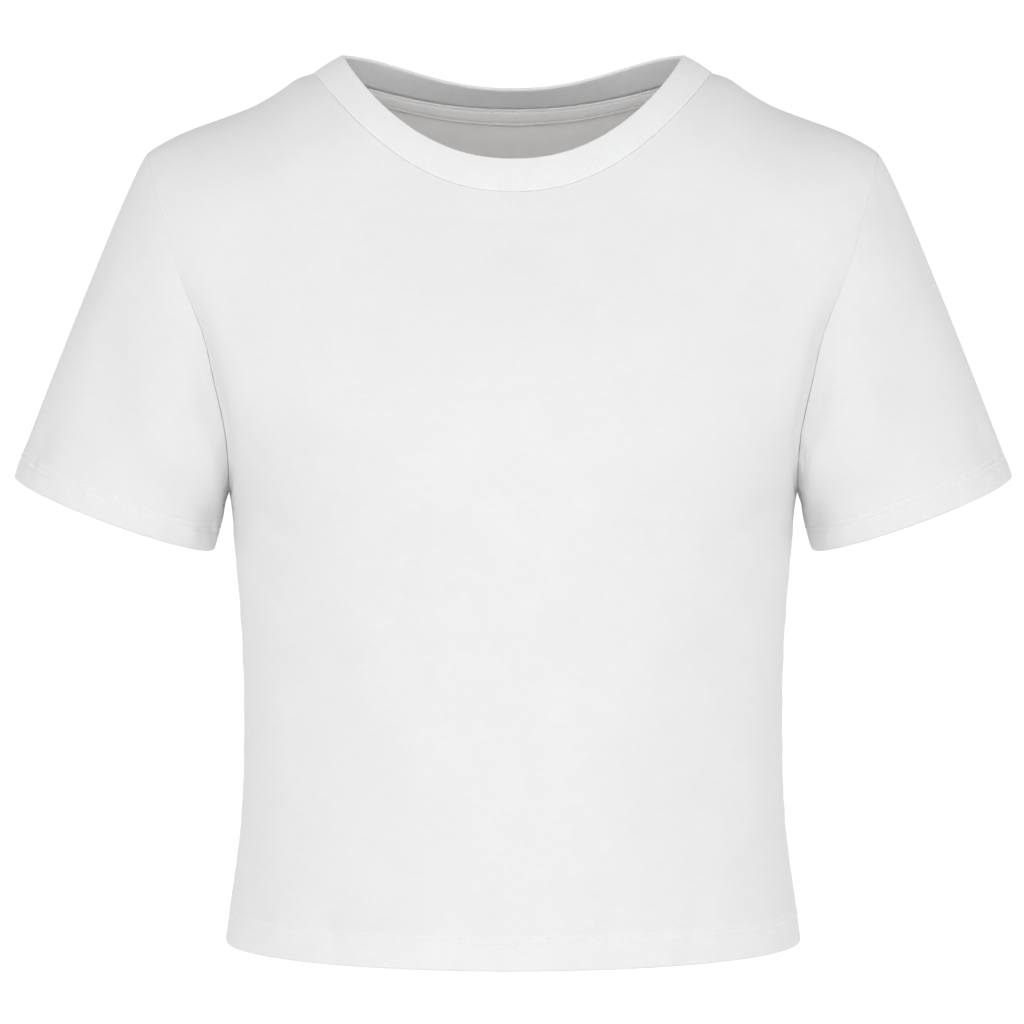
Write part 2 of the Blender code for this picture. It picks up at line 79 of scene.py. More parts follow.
# %% Named sizes
CLOTH = 0.0010          # jersey, a little thicker than life so that its edge shows
FOLDED = 0.0024         # a turned hem, two layers and the air between
BODY_HEM = 0.018
SLEEVE_HEM = 0.015
RIB_RAISE = 0.0004
RIB_WALL = 0.0021
RIB_CLOTH = 0.0009
RIB_CROWN = 0.00035     # how far the rib's outside swells
TAPE_WIDTH = 0.009
TAPE_CLOTH = 0.0007
HEM_Z = -0.469
UNDERARM_Z = -0.232
ROUNDING = 0.068
RIDGE_REACH = 0.030
SHOULDER_POINT_X = 0.192
NECK_FULLNESS = 2.2
CUFF_INNER = np.array((0.1582, 0.0, -0.2610))
CUFF_OUTER = np.array((0.2638, 0.0, -0.2218))
CUFF_HALF_DEPTH = 0.047
CUFF_FRONT_DROP = 0.0025
SLEEVE_AXIS = np.array((0.364, 0.0, -0.931))
NECK_SHARE = 10 / 18    # of half a panel's top edge that is neckline
SMALL = 0.0004          # step for reading a direction off a surface
FACING = {"front": -1, "back": 1}
RIGHT, LEFT = 1, -1
TWIN = {"front": 1, "back": 2, RIGHT: 1, LEFT: 2}   # keeps the waves of twins apart

# %% Tables of the form
TORSO_COLUMNS = ("z", "half_width", "front", "back")
TORSO = [
    (-0.469, 0.1526, 0.1135, 0.0980),
    (-0.443, 0.1492, 0.1125, 0.0970),
    (-0.419, 0.1458, 0.1118, 0.0963),
    (-0.395, 0.1436, 0.1118, 0.0963),
    (-0.363, 0.1426, 0.1128, 0.0972),
    (-0.315, 0.1431, 0.1160, 0.0995),
    (-0.284, 0.1450, 0.1190, 0.1018),
    (-0.256, 0.1474, 0.1218, 0.1040),
    (-0.232, 0.1502, 0.1235, 0.1056),
    (-0.215, 0.1560, 0.1240, 0.1066),
    (-0.200, 0.1640, 0.1237, 0.1072),
    (-0.184, 0.1735, 0.1224, 0.1074),
    (-0.160, 0.1855, 0.1182, 0.1066),
    (-0.135, 0.1945, 0.1108, 0.1040),
    (-0.110, 0.2005, 0.1008, 0.0985),
    (-0.090, 0.2048, 0.0915, 0.0918),
    (-0.070, 0.2082, 0.0815, 0.0828),
    (-0.050, 0.2112, 0.0710, 0.0705),
    (-0.034, 0.2134, 0.0620, 0.0590),
    (-0.018, 0.2152, 0.0530, 0.0485),
    (0.000, 0.2170, 0.0430, 0.0400),
]
RIDGE_COLUMNS = ("x", "z")
RIDGE = [
    (0.000, 0.0300), (0.050, 0.0165), (0.088, 0.0002), (0.1045, -0.0094),
    (0.114, -0.0127), (0.121, -0.0176), (0.1275, -0.0218), (0.135, -0.0261),
    (0.145, -0.0303), (0.156, -0.0343), (0.168, -0.0386), (0.178, -0.0429),
    (0.185, -0.0467), (0.192, -0.0512), (0.206, -0.0610),
]
ARMHOLE_COLUMNS = ("z", "front", "back")
ARMHOLE = [
    (-0.232, 0.1502, 0.1502),
    (-0.217, 0.1490, 0.1502),
    (-0.204, 0.1502, 0.1532),
    (-0.190, 0.1536, 0.1577),
    (-0.175, 0.1575, 0.1625),
    (-0.159, 0.1613, 0.1668),
    (-0.144, 0.1652, 0.1706),
    (-0.128, 0.1698, 0.1744),
    (-0.110, 0.1748, 0.1786),
    (-0.089, 0.1808, 0.1834),
    (-0.071, 0.1862, 0.1878),
    (-0.051, 0.1920, 0.1920),
]
NECK_COLUMNS = ("line", "half_width", "depth", "side_z", "drop", "power")
NECK = [
    ("front_seam", 0.1045, 0.0820, -0.0094, 0.0613, 2.35),
    ("back_seam", 0.1045, 0.0520, -0.0094, 0.0176, 3.0),
    ("front_fold", 0.0892, 0.0750, 0.0000, 0.0536, 2.05),
    ("back_fold", 0.0892, 0.0380, 0.0000, 0.0170, 4.2),
]
LEAVE_COLUMNS = ("where", "x", "y", "z", "cuff_length")
LEAVE = [
    ("top", 0.025, 0.000, -0.024, 0.186),
    ("side", 0.045, 0.010, -0.088, 0.112),
    ("under", 0.008, 0.000, -0.028, 0.029),
]
print("torso rows", len(TORSO), "- armhole rows", len(ARMHOLE), "- neck lines", len(NECK))

# %% [markdown]
# ## The folds
# Jersey that is filled out hangs nearly smooth. What is left are long soft troughs
# and swells: a hollow under the collar, drapes from the chest to the sides, pulls at
# the armpits. Each is one row: where it starts and ends, how wide it is, and how far
# it stands out (minus is in). The first table is mirrored and follows the folds of the
# hard model, with a deeper hollow under the collar. The second holds finer ones that
# stand on one side or cross the middle. The third is for the sleeves, by the share of
# the way round and along, and is a little stronger than in the hard model.

# %% Tables of the folds
FOLD_COLUMNS = ("name", "face", "x0", "z0", "x1", "z1", "half_width", "height")
FOLDS = [
    ("collar hollow", "front", 0.000, -0.078, 0.000, -0.088, 0.032, -0.0028),
    ("shoulder hollow", "front", 0.146, -0.098, 0.138, -0.140, 0.024, -0.0022),
    ("drape edge", "front", 0.090, -0.272, 0.044, -0.372, 0.016, 0.0013),
    ("side drape", "front", 0.104, -0.330, 0.088, -0.420, 0.030, -0.0022),
    ("side swell", "front", 0.131, -0.300, 0.124, -0.400, 0.012, 0.0012),
    ("armpit drag", "front", 0.139, -0.232, 0.104, -0.258, 0.008, -0.0016),
    ("hem ripple", "front", 0.099, -0.438, 0.091, -0.469, 0.006, -0.0013),
    ("blade hollow", "back", 0.146, -0.110, 0.130, -0.160, 0.024, -0.0024),
    ("spine fall", "back", 0.000, -0.150, 0.000, -0.330, 0.030, -0.0020),
    ("waist drape", "back", 0.092, -0.290, 0.070, -0.430, 0.022, -0.0024),
    ("waist swell", "back", 0.048, -0.320, 0.040, -0.440, 0.016, 0.0014),
    ("armpit drag", "back", 0.140, -0.228, 0.100, -0.262, 0.009, -0.0018),
    ("hem ripple", "back", 0.070, -0.440, 0.066, -0.469, 0.007, -0.0012),
]
CREASES = [
    ("chest pull left", "front", -0.128, -0.176, -0.086, -0.214, 0.010, -0.0007),
    ("chest pull right", "front", 0.124, -0.184, 0.092, -0.210, 0.009, -0.0006),
    ("side crease left", "front", -0.136, -0.262, -0.112, -0.300, 0.006, -0.0006),
    ("side crease right", "front", 0.134, -0.270, 0.114, -0.296, 0.006, -0.0005),
    ("hem hollow", "front", -0.085, -0.446, 0.085, -0.446, 0.020, -0.0024),
    ("hem wave left", "front", -0.040, -0.436, -0.046, -0.469, 0.007, 0.0006),
    ("hem wave right", "front", 0.052, -0.444, 0.047, -0.469, 0.006, -0.0006),
    ("back pull left", "back", -0.120, -0.170, -0.078, -0.204, 0.010, -0.0008),
    ("back pull right", "back", 0.116, -0.180, 0.082, -0.206, 0.010, -0.0007),
    ("back crease left", "back", -0.118, -0.340, -0.100, -0.400, 0.010, -0.0009),
    ("back crease right", "back", 0.114, -0.350, 0.098, -0.396, 0.009, -0.0008),
    ("back hem wave", "back", 0.010, -0.440, 0.014, -0.469, 0.008, 0.0007),
]
SLEEVE_FOLD_COLUMNS = ("name", "round", "along", "round_half", "along_half", "height")
SLEEVE_FOLDS = [
    ("front swell", 0.275, 0.50, 0.060, 0.20, 0.0052),
    ("front dent", 0.150, 0.52, 0.045, 0.16, -0.0020),
    ("crown dent", 0.080, 0.20, 0.040, 0.10, -0.0012),
    ("cuff dent", 0.080, 0.86, 0.036, 0.07, -0.0026),
    ("under dent", 0.430, 0.62, 0.045, 0.26, -0.0034),
    ("outer dent", 0.055, 0.46, 0.035, 0.12, -0.0012),
    ("back swell", 0.700, 0.58, 0.070, 0.22, 0.0026),
    ("back dent", 0.850, 0.45, 0.050, 0.16, -0.0018),
]
print("folds on the panels", len(FOLDS), "and fine creases", len(CREASES))

# %% [markdown]
# ## Reading the tables
# Between the rows of a table the size has to run on without a kink, or the cloth
# would show a ring there. A natural cubic curve does this: it is solved once for each
# pair of columns. All the helpers work on whole arrays, so a panel of forty thousand
# points takes a blink.

# %% Curves and small helpers
def smooth_curve(columns, rows, key, value):
    """Natural cubic curve through one column of a table against another."""
    points = sorted((row[columns.index(key)], row[columns.index(value)]) for row in rows)
    x = np.array([p[0] for p in points])
    y = np.array([p[1] for p in points])
    gap = np.diff(x)
    slope = np.diff(y) / gap
    matrix = np.eye(len(x))
    right = np.zeros(len(x))
    for i in range(1, len(x) - 1):
        matrix[i, i - 1:i + 2] = gap[i - 1], 2 * (gap[i - 1] + gap[i]), gap[i]
        right[i] = 3 * (slope[i] - slope[i - 1])
    bend = np.linalg.solve(matrix, right)

    def read(at):
        at = np.asarray(at, dtype=float)
        i = np.clip(np.searchsorted(x, at) - 1, 0, len(gap) - 1)
        d = at - x[i]
        first = slope[i] - gap[i] * (2 * bend[i] + bend[i + 1]) / 3
        third = (bend[i + 1] - bend[i]) / (3 * gap[i])
        return y[i] + d * (first + d * (bend[i] + d * third))

    return read


def unit(v):
    return v / np.maximum(np.linalg.norm(v, axis=-1, keepdims=True), 1e-12)


def dot(a, b):
    return np.sum(a * b, axis=-1, keepdims=True)


def ease(value):
    """0 below 0, 1 above 1 and smooth between."""
    value = np.clip(value, 0.0, 1.0)
    return value * value * (3 - 2 * value)


def bell(distance, reach):
    """1 at no distance, fading to nothing past the reach."""
    return np.exp(-(distance / reach) ** 2)


def blended(first, second, share):
    """Directions between two others: the first at share 0, the second at 1."""
    return unit(first * (1 - share) + second * share)


def run_length(points, axis=0):
    """Length along the rows or the columns of points, 0 at the first."""
    steps = np.linalg.norm(np.diff(points, axis=axis), axis=-1)
    return np.concatenate((np.zeros_like(steps.take([0], axis)), np.cumsum(steps, axis)), axis)


def read_along(points, run, at):
    """The point of a line at a length along it."""
    return np.array([np.interp(at, run, points[:, k]) for k in range(3)])


def rows_of(columns, table):
    """The rows of a table as dictionaries."""
    return [dict(zip(columns, row)) for row in table]


half_width = smooth_curve(TORSO_COLUMNS, TORSO, "z", "half_width")
depth = {face: smooth_curve(TORSO_COLUMNS, TORSO, "z", face) for face in ("front", "back")}
ridge_z = smooth_curve(RIDGE_COLUMNS, RIDGE, "x", "z")
armhole_x = {
    face: smooth_curve(ARMHOLE_COLUMNS, ARMHOLE, "z", face) for face in ("front", "back")
}
NECK_LINE = {row["line"]: row for row in rows_of(NECK_COLUMNS, NECK)}
print("half width at the hem", half_width(HEM_Z), "m")

# %% [markdown]
# ## The torso as one surface
# A point of the torso is named on a flat chart: q is how far round from the middle
# line it lies and v is its height, stretched near the shoulder, where the cloth turns
# over. The front and the back use the same rule, so their seams meet exactly.

# %% Torso surface
def chart_of(x, z):
    """Chart place of the torso point at x, z seen from the front."""
    width = half_width(z)
    q = width * np.arcsin(np.minimum(x / width, 1.0)) / (np.pi / 2)
    fall = np.sqrt(np.maximum(ridge_z(x) - z, 0.0) / ROUNDING)
    return q, z + RIDGE_REACH * np.maximum(1 - fall, 0.0) ** 2


def torso(face, q, v):
    """Points of the torso surface at chart places, q positive to the right."""
    side = np.where(q < 0, -1.0, 1.0)
    q = np.abs(q)
    z = v
    # height and width depend on each other, so they are worked out in rounds
    for _ in range(12):
        width = half_width(z)
        x = width * np.sin(q * np.pi / 2 / width)
        top = ridge_z(x)
        span = ROUNDING - RIDGE_REACH
        root = np.sqrt(np.maximum(RIDGE_REACH ** 2 + span * (RIDGE_REACH + top - v), 0.0))
        turning = v > top - ROUNDING
        fall = np.where(turning, (root - RIDGE_REACH) / span, 1.0)
        z = np.where(turning, top - ROUNDING * fall * fall, v)
    over = fall * np.sqrt(3 - 3 * fall ** 2 + fall ** 4)
    y = depth[face](z) * np.cos(q * np.pi / 2 / width) * over
    return np.stack((side * x, FACING[face] * y, z), axis=-1)


def torso_normal(face, q, v):
    """Outward directions of the torso surface."""
    across = torso(face, q + SMALL, v) - torso(face, q - SMALL, v)
    up = torso(face, q, v + SMALL) - torso(face, q, v - SMALL)
    return unit(np.cross(across, up) * -FACING[face])


print("front of the chest", torso("front", np.array(0.0), np.array(-0.215)).round(4))

# %% [markdown]
# ## Neckline, shoulder seam and armhole
# The two seams at the neck are ovals seen from above that drop towards the middle of
# the front and the back. Half a panel's top edge is the neckline and then the shoulder
# seam. Its side is the armhole. From these edges a patch is blended over the chart.

# %% Edges of a panel
def neck_point(line, angle):
    """Points of one neck line on the right half: angle 0 is the middle, pi/2 the side."""
    row = NECK_LINE[line]
    power = 2 / NECK_FULLNESS
    x = row["half_width"] * np.abs(np.sin(angle)) ** power
    y = row["depth"] * np.abs(np.cos(angle)) ** power
    z = row["side_z"] - row["drop"] * (y / row["depth"]) ** row["power"]
    return np.stack((x, FACING[line.split("_")[0]] * y, z), axis=-1)


def neck_angle(face, share):
    """Angle at a share of the neck seam's length, from the middle to the shoulder."""
    fine = np.linspace(0, np.pi / 2, 601)
    run = run_length(neck_point(face + "_seam", fine))
    return np.interp(np.asarray(share) * run[-1], run, fine)


def neck_chart(face, angle):
    point = neck_point(face + "_seam", angle)
    return chart_of(point[..., 0], np.minimum(point[..., 2], ridge_z(point[..., 0])))


def top_edge(face, t):
    """Chart places of the neckline and the shoulder seam, t 0 middle to 1 sleeve."""
    neck = neck_chart(face, neck_angle(face, np.minimum(t / NECK_SHARE, 1.0)))
    start = NECK_LINE[face + "_seam"]["half_width"]
    x = start + (SHOULDER_POINT_X - start) * (t - NECK_SHARE) / (1 - NECK_SHARE)
    shoulder = chart_of(np.maximum(x, start), ridge_z(np.maximum(x, start)))
    return [np.where(t <= NECK_SHARE, a, b) for a, b in zip(neck, shoulder)]


def armhole_chart(face, w):
    """Chart places on the armhole, w 0 at the underarm and 1 at the shoulder point."""
    top = ridge_z(SHOULDER_POINT_X)
    z = UNDERARM_Z + (top - UNDERARM_Z) * (1 - np.cos(np.pi * w)) / 2
    q, v = chart_of(armhole_x[face](z), z)
    end_q, end_v = chart_of(SHOULDER_POINT_X, top)
    q = np.where(w >= 1, end_q, np.where(w <= 0, half_width(UNDERARM_Z), q))
    return q, np.where(w >= 1, end_v, np.where(w <= 0, UNDERARM_Z, v))


def panel_chart(face, t, level):
    """Chart places of a panel: t -1 to 1 across; level 0 hem, 1 underarm, 2 top."""
    side = np.where(t < 0, -1.0, 1.0)
    t = np.abs(t)
    z = HEM_Z + (UNDERARM_Z - HEM_Z) * np.minimum(level, 1.0)
    w = np.clip(level - 1, 0.0, 1.0)
    top_q, top_v = top_edge(face, t)
    side_q, side_v = armhole_chart(face, w)
    (_, middle_top), (end_q, end_v) = [top_edge(face, np.array(e)) for e in (0.0, 1.0)]
    width = half_width(z)
    middle = UNDERARM_Z + (middle_top - UNDERARM_Z) * w
    q = (1 - w) * width * t + w * top_q + t * side_q
    q -= (1 - w) * t * half_width(UNDERARM_Z) + w * t * end_q
    v = (1 - w) * z + w * top_v + (1 - t) * middle + t * side_v
    v -= (1 - w) * UNDERARM_Z + w * ((1 - t) * middle_top + t * end_v)
    body = level <= 1
    return side * np.where(body, width * t, q), np.where(body, z, v)


def armhole(surface, around):
    """Points or directions of the right armhole: 0 shoulder, front, underarm, back."""
    w = np.abs(1 - 2 * around)
    front, back = [surface(face, *armhole_chart(face, w)) for face in ("front", "back")]
    return np.where((around <= 0.5)[..., None], front, back)


ROUND = np.linspace(0, 1, 201)
print("armhole length", round(float(run_length(armhole(torso, ROUND))[-1]), 3), "m")

# %% [markdown]
# ## The sleeve as a surface
# Each line along the sleeve leaves the armhole in its own direction and reaches the
# opening along the arm. A Hermite curve joins the two ends with no kink, and the lines
# at the top, the sides and the underarm have directions and lengths of their own.

# %% Sleeve surface
TURN_STEP, ALONG_STEP = 0.002, 0.004    # shares of a sleeve, for reading directions
EDGE_PLACE = 0.006                      # share of its length where its edge is read


def cuff_point(around):
    turn = 2 * np.pi * around[..., None]
    chord = (CUFF_OUTER - CUFF_INNER) / 2
    point = (CUFF_OUTER + CUFF_INNER) / 2 + chord * np.cos(turn)
    lean = np.array((0.0, -CUFF_HALF_DEPTH, -CUFF_FRONT_DROP))
    return point + lean * np.sin(turn)


def sleeve(around, along):
    """Points of the right sleeve, along runs from the armhole to the opening."""
    around = np.asarray(around) % 1.0
    turn = 2 * np.pi * around
    weight = {
        "top": np.maximum(np.cos(turn), 0) ** 2,
        "side": np.sin(turn) ** 2,
        "under": np.maximum(-np.cos(turn), 0) ** 2,
    }
    leave = np.zeros(around.shape + (3,))
    length = np.zeros(around.shape)
    for line in rows_of(LEAVE_COLUMNS, LEAVE):
        x, y, z = [line[axis] + 0 * turn for axis in "xyz"]
        share = weight[line["where"]]
        leave += share[..., None] * np.stack((x, y * np.sin(turn), z), axis=-1)
        length += share * line["cuff_length"]
    s = np.asarray(along)[..., None]
    return (
        (2 * s ** 3 - 3 * s ** 2 + 1) * armhole(torso, around)
        + (s ** 3 - 2 * s ** 2 + s) * leave
        + (3 * s ** 2 - 2 * s ** 3) * cuff_point(around)
        + (s ** 3 - s ** 2) * length[..., None] * SLEEVE_AXIS
    )


def sleeve_normal(around, along):
    low, high = np.maximum(along - ALONG_STEP, 0.0), np.minimum(along + ALONG_STEP, 1.0)
    down = sleeve(around, high) - sleeve(around, low)
    turn = sleeve(around + TURN_STEP, along) - sleeve(around - TURN_STEP, along)
    return unit(np.cross(turn, down))


def armhole_edge(around):
    """The ways that the panel's and the sleeve's edges face where they are sewn."""
    # the first way is shared, so a valley along the seam doesn't pull the two apart
    ahead, behind = [
        armhole(torso, (around + step) % 1) for step in (TURN_STEP, -TURN_STEP)
    ]
    tangent = unit(ahead - behind)
    panel = armhole(torso_normal, around)
    cloth = sleeve_normal(around, np.full(around.shape, EDGE_PLACE))
    panel, cloth = [unit(way - tangent * dot(way, tangent)) for way in (panel, cloth)]
    apart = unit(np.cross(panel + cloth, tangent))
    both = unit(panel + cloth)
    hollow = dot(cloth, apart) > dot(panel, apart)
    return both, np.where(hollow, both, panel), np.where(hollow, both, cloth)


print("sleeve opening", round(float(run_length(cuff_point(ROUND))[-1]), 3), "m round")

# %% [markdown]
# ## Folds as heights
# A fold pushes the cloth out along its own normal by a bell-shaped height that fades
# to both sides and towards its ends. Heights simply add up, so a crease can cross a
# drape. Near a seam the folds die away, because two pieces are held flat there.

# %% Heights of the folds
def fold_height(rows, face, x, z, mirrored):
    """How far one table of folds pushes a panel out."""
    total = np.zeros(x.shape)
    for fold in rows_of(FOLD_COLUMNS, rows):
        if fold["face"] != face:
            continue
        place_x = np.abs(x) if mirrored else x
        run_x, run_z = fold["x1"] - fold["x0"], fold["z1"] - fold["z0"]
        off_x, off_z = place_x - fold["x0"], z - fold["z0"]
        along = (off_x * run_x + off_z * run_z) / (run_x ** 2 + run_z ** 2)
        along = np.clip(along, 0.0, 1.0)
        off = np.hypot(off_x - along * run_x, off_z - along * run_z)
        ends = 0.55 + 0.45 * np.sin(np.pi * along)
        total += fold["height"] * bell(off, fold["half_width"]) * ends
    return total


def sleeve_fold_height(around, along):
    total = np.zeros(around.shape)
    for fold in rows_of(SLEEVE_FOLD_COLUMNS, SLEEVE_FOLDS):
        turn = (around - fold["round"] + 0.5) % 1 - 0.5
        over = bell(along - fold["along"], fold["along_half"])
        total += fold["height"] * bell(turn, fold["round_half"]) * over
    return total


def uneven_wave(length, pitch, seed):
    """A wave along a seam whose bumps differ in length and depth, about -1 to 1."""
    rng = np.random.default_rng(seed)
    total = np.zeros(length.shape)
    for _ in range(5):
        own = pitch * rng.uniform(0.7, 1.9)
        total += rng.uniform(0.4, 1.0) * np.sin(2 * np.pi * (length / own + rng.uniform()))
    return total / 2.2


collar = fold_height(FOLDS, "front", np.array([0.0]), np.array([-0.083]), True)
print("hollow under the collar", round(float(collar[0]) * 1000, 1), "mm")

# %% [markdown]
# ## How an edge is sewn
# Where two pieces meet, the cloth rolls inward over less than half a millimetre and its
# allowance stands inside the shirt. The roll is a quarter circle, so the seam reads as
# a fine soft groove and no light falls through it. Points are set closer together
# near an edge, because an even grid would cut the roll's corner.

# %% Rolled edges
ROLL = 0.0004           # radius of the roll at a seam
ALLOWANCE = 0.0030      # how far the cut edge stands inside
NECK_ALLOWANCE = 0.0013
EDGE_STEPS = (0.0, 0.00006, 0.0002, 0.0004, 0.0007, 0.0013, 0.0025, 0.0042)


def roll_drop(distance, radius=ROLL):
    """How far the cloth has turned inward at a distance from its seam."""
    left = np.clip(radius - distance, 0.0, radius)
    return radius - np.sqrt(np.maximum(radius ** 2 - left ** 2, 0.0))


def graded(length, step):
    """Places from 0 to 1 along a run, an even step apart and closer at its sewn end."""
    near = 1 - np.array(EDGE_STEPS)[::-1] / length
    count = int(round((length - EDGE_STEPS[-1]) / step))
    return np.concatenate((np.linspace(0, near[0], count + 1), near[1:]))


def finer_at(start, end, step, marks, reach=0.0018):
    """Places an even step apart, and closer together round each mark."""
    fine = {round(mark + reach * part, 7) for mark in marks for part in np.linspace(-1, 1, 7)}
    even = np.linspace(start, end, int(round((end - start) / step)) + 1)[1:-1]
    kept = {at for at in even if min(abs(at - mark) for mark in marks) > reach + 0.4 * step}
    return np.array(sorted({start, end} | kept | fine))


print("rolled seam radius", ROLL * 1000, "mm")

# %% [markdown]
# ## From a sheet of points to cloth
# Blender's grid operator makes the sheet, and every vertex of it is then carried to
# its place on the shirt. The sheet's flat place in metres is kept as a UV map called
# cloth, so that the knit follows the cut and not the space around it. A Solidify
# modifier gives the sheet its thickness on the inside.

# %% Sheet maker
def new_piece(name, bm):
    """An object in the scene from a mesh that is ready."""
    mesh = bpy.data.meshes.new(name)
    bm.to_mesh(mesh)
    bm.free()
    mesh.shade_smooth()
    piece = bpy.data.objects.new(name, mesh)
    bpy.context.scene.collection.objects.link(piece)
    return piece


def cloth_sheet(node, points, flat, thickness=CLOTH, closed=False, turned=False):
    """Cloth in place of one wall of the model, from rows of points and flat places."""
    if turned:
        # the rows run the other way round, so that the faces look outward
        points, flat = points[:, ::-1], flat[:, ::-1]
    rows, columns = points.shape[:2]
    bm = bmesh.new()
    bmesh.ops.create_grid(bm, x_segments=columns - 1, y_segments=rows - 1, size=0.5)
    layer = bm.loops.layers.uv.new("cloth")
    place = {}
    for vert in bm.verts:
        row = round((vert.co.y + 0.5) * (rows - 1))
        column = round((vert.co.x + 0.5) * (columns - 1))
        place[vert] = row, column
        vert.co = points[row, column]
    for face in bm.faces:
        for loop in face.loops:
            loop[layer].uv = flat[place[loop.vert]]
    if closed:
        bmesh.ops.remove_doubles(bm, verts=bm.verts, dist=1e-6)
    piece = new_piece(node + "_cloth", bm)
    wall = piece.modifiers.new("thickness", "SOLIDIFY")
    wall.thickness = thickness
    wall.offset = -1.0
    wall.use_even_offset = False
    wall.material_offset = 1
    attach(piece, "root")
    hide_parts(node)
    print(piece.name, rows, "rows of", columns)
    return piece


def hem_turned(points, normals, radius, depth_up, steps_up):
    """Rows that carry a sheet round its hem and up inside, from its last row on."""
    edge = points[-1]
    down = unit(points[-1] - points[-3])
    out = unit(normals[-1] - down * dot(normals[-1], down))
    rows = []
    for bend in np.linspace(0, np.pi, 9)[1:]:
        rows.append(edge + down * radius * np.sin(bend) - out * radius * (1 - np.cos(bend)))
    up = points[::-1]
    length = run_length(up)
    for rise in np.linspace(0, depth_up, steps_up + 1)[1:]:
        at = np.array([read_along(up[:, i], length[:, i], rise) for i in range(len(edge))])
        rows.append(at - out * 2 * radius)
    return np.array(rows)


def flat_with_hem(across, along, start, depth_up, count):
    """Flat places of a sheet and of its turned hem, whose rows run on past its edge."""
    past = start - np.linspace(0.0005, depth_up + 0.004, count)[:, None]
    return np.stack((np.concatenate((across, np.repeat(across[-1:], count, 0))),
                     np.concatenate((along, past))), -1)


# %% [markdown]
# ## Where the rib stands
# The neckband stands up from the neck seam and narrows the opening. Between the seam
# and its folded upper edge each place of it has three directions: up the band, along
# the neckline and out. The panels' top edges turn halfway towards the band's outside.

# %% Neck rib surface
def rib_frame(face, angle):
    """Place of the rib on its seam, and its directions there, on the right half."""
    seam = torso(face, *neck_chart(face, angle))
    fold = neck_point(face + "_fold", angle)
    width = np.linalg.norm(fold - seam, axis=-1, keepdims=True)
    up = (fold - seam) / width
    step = 0.01
    high = torso(face, *neck_chart(face, np.minimum(angle + step, np.pi / 2 - 1e-4)))
    low = torso(face, *neck_chart(face, np.maximum(angle - step, 1e-4)))
    tangent = high - low
    tangent[angle < step] = (1, 0, 0)
    tangent[angle > np.pi / 2 - step] = (0, -FACING[face], 0)
    out = unit(np.cross(tangent, up) * -FACING[face])
    edge = unit(out + torso_normal(face, *neck_chart(face, angle)))
    return seam, up, out, edge, width


def neck_edge(face, t):
    """The way that the panel's edge faces at the neck seam."""
    return rib_frame(face, neck_angle(face, np.minimum(t / NECK_SHARE, 1.0)))[3]


print("neckband", round(float(rib_frame("front", np.array([0.0]))[4][0, 0]), 4), "m wide")

# %% [markdown]
# ## What sewing does to the cloth
# The hem's stitching pulls the cloth in a little, and the cloth between the stitches
# and the fold puckers unevenly. A sewn seam leaves small bumps beside it. Where the
# arm hangs down, the cloth on both sides of the lower armhole sinks into a valley.

# %% Heights near hems and seams
NEEDLES = (0.0010, 0.0042)      # the two stitch lines, below the turned edge
GROOVE = 0.00022                # how deep a stitch line pulls the cloth in
GATHER = 0.00030                # height of the bumps between the stitch lines
HEM_WAVE = 0.00026              # height of the puckers down to the fold
PUCKER = 0.00025                # height of the puckers beside a seam
PUCKER_PLACE = 0.004            # how far from the seam they stand
SEAM_REACH = 0.010              # how far a seam turns the cloth its own way
NECK_REACH = 0.006
ARMPIT_DEPTH = 0.0078           # how far the lower armhole sinks in
ARMPIT_REACH = 0.0095           # how wide its valley is to each side
ARMPIT_FADE = 0.012             # how far down the side seam the valley runs out


def hem_pull(rise, depth_up, length, seed):
    """Height of the cloth near a hem's stitches and between them and the fold."""
    pull = 0.0
    for needle in NEEDLES:
        pull = pull - GROOVE * bell(rise - depth_up + needle, 0.0008)
    small = uneven_wave(length + 0.5 * rise, 0.0085, seed + 100)
    patchy = ease(0.5 + 0.8 * uneven_wave(length, 0.060, seed + 200))
    gather = GATHER * bell(rise - depth_up + 0.002, 0.004) * small * patchy
    wave = HEM_WAVE * uneven_wave(length + 0.45 * rise, 0.014, seed)
    return pull + gather + wave * bell(rise - 0.50 * depth_up, 0.45 * depth_up)


def seam_pucker(distance, run, pitch, seed):
    """The small bumps that sewing leaves beside a seam, as a share of their height."""
    return uneven_wave(run, pitch, seed) * bell(distance - PUCKER_PLACE, PUCKER_PLACE)


def armhole_roll(w):
    """Radius of the roll at the armhole, where the seam lies flattest over the chest."""
    return ROLL * (1 - 0.7 * ease((w - 0.50) / 0.12) * ease((0.98 - w) / 0.12))


def armpit_trough(distance, w, on_sleeve):
    """The valley on both sides of the armhole where the arm hangs down."""
    deep = ARMPIT_DEPTH * ease((0.64 - w) / 0.18) * (0.3 + 0.7 * ease((w - 0.16) / 0.20))
    reach = ARMPIT_REACH
    if on_sleeve:
        reach = reach * (0.7 + 0.7 * ease((w - 0.24) / 0.16))
    return -deep * np.exp(-(distance / reach) ** 1.5)


def stitch_rows(rise, depth_up):
    """The rows of a sheet on which the needles run."""
    return [np.argmin(abs(rise - depth_up + needle)) for needle in NEEDLES]


print("valley at the armpit", ARMPIT_DEPTH * 1000, "mm deep")

# %% [markdown]
# ## Front and back panel
# Each panel is one sheet from the neck to the hem, round the hem's fold and up behind
# it, as the real one is pressed and stitched. Its rows run level up to the underarm
# and bend to the neckline and the shoulder seam above it.

# %% Panels
HEM_RADIUS = FOLDED / 2
CELL = 0.0024                   # of a panel's grid
PANEL_HALF = 0.205              # half a panel across, for its count of columns
YOKE = 0.190                    # underarm level to shoulder, for its count of rows
END_GAP = 0.0008                # no stitch lies nearer to a side seam


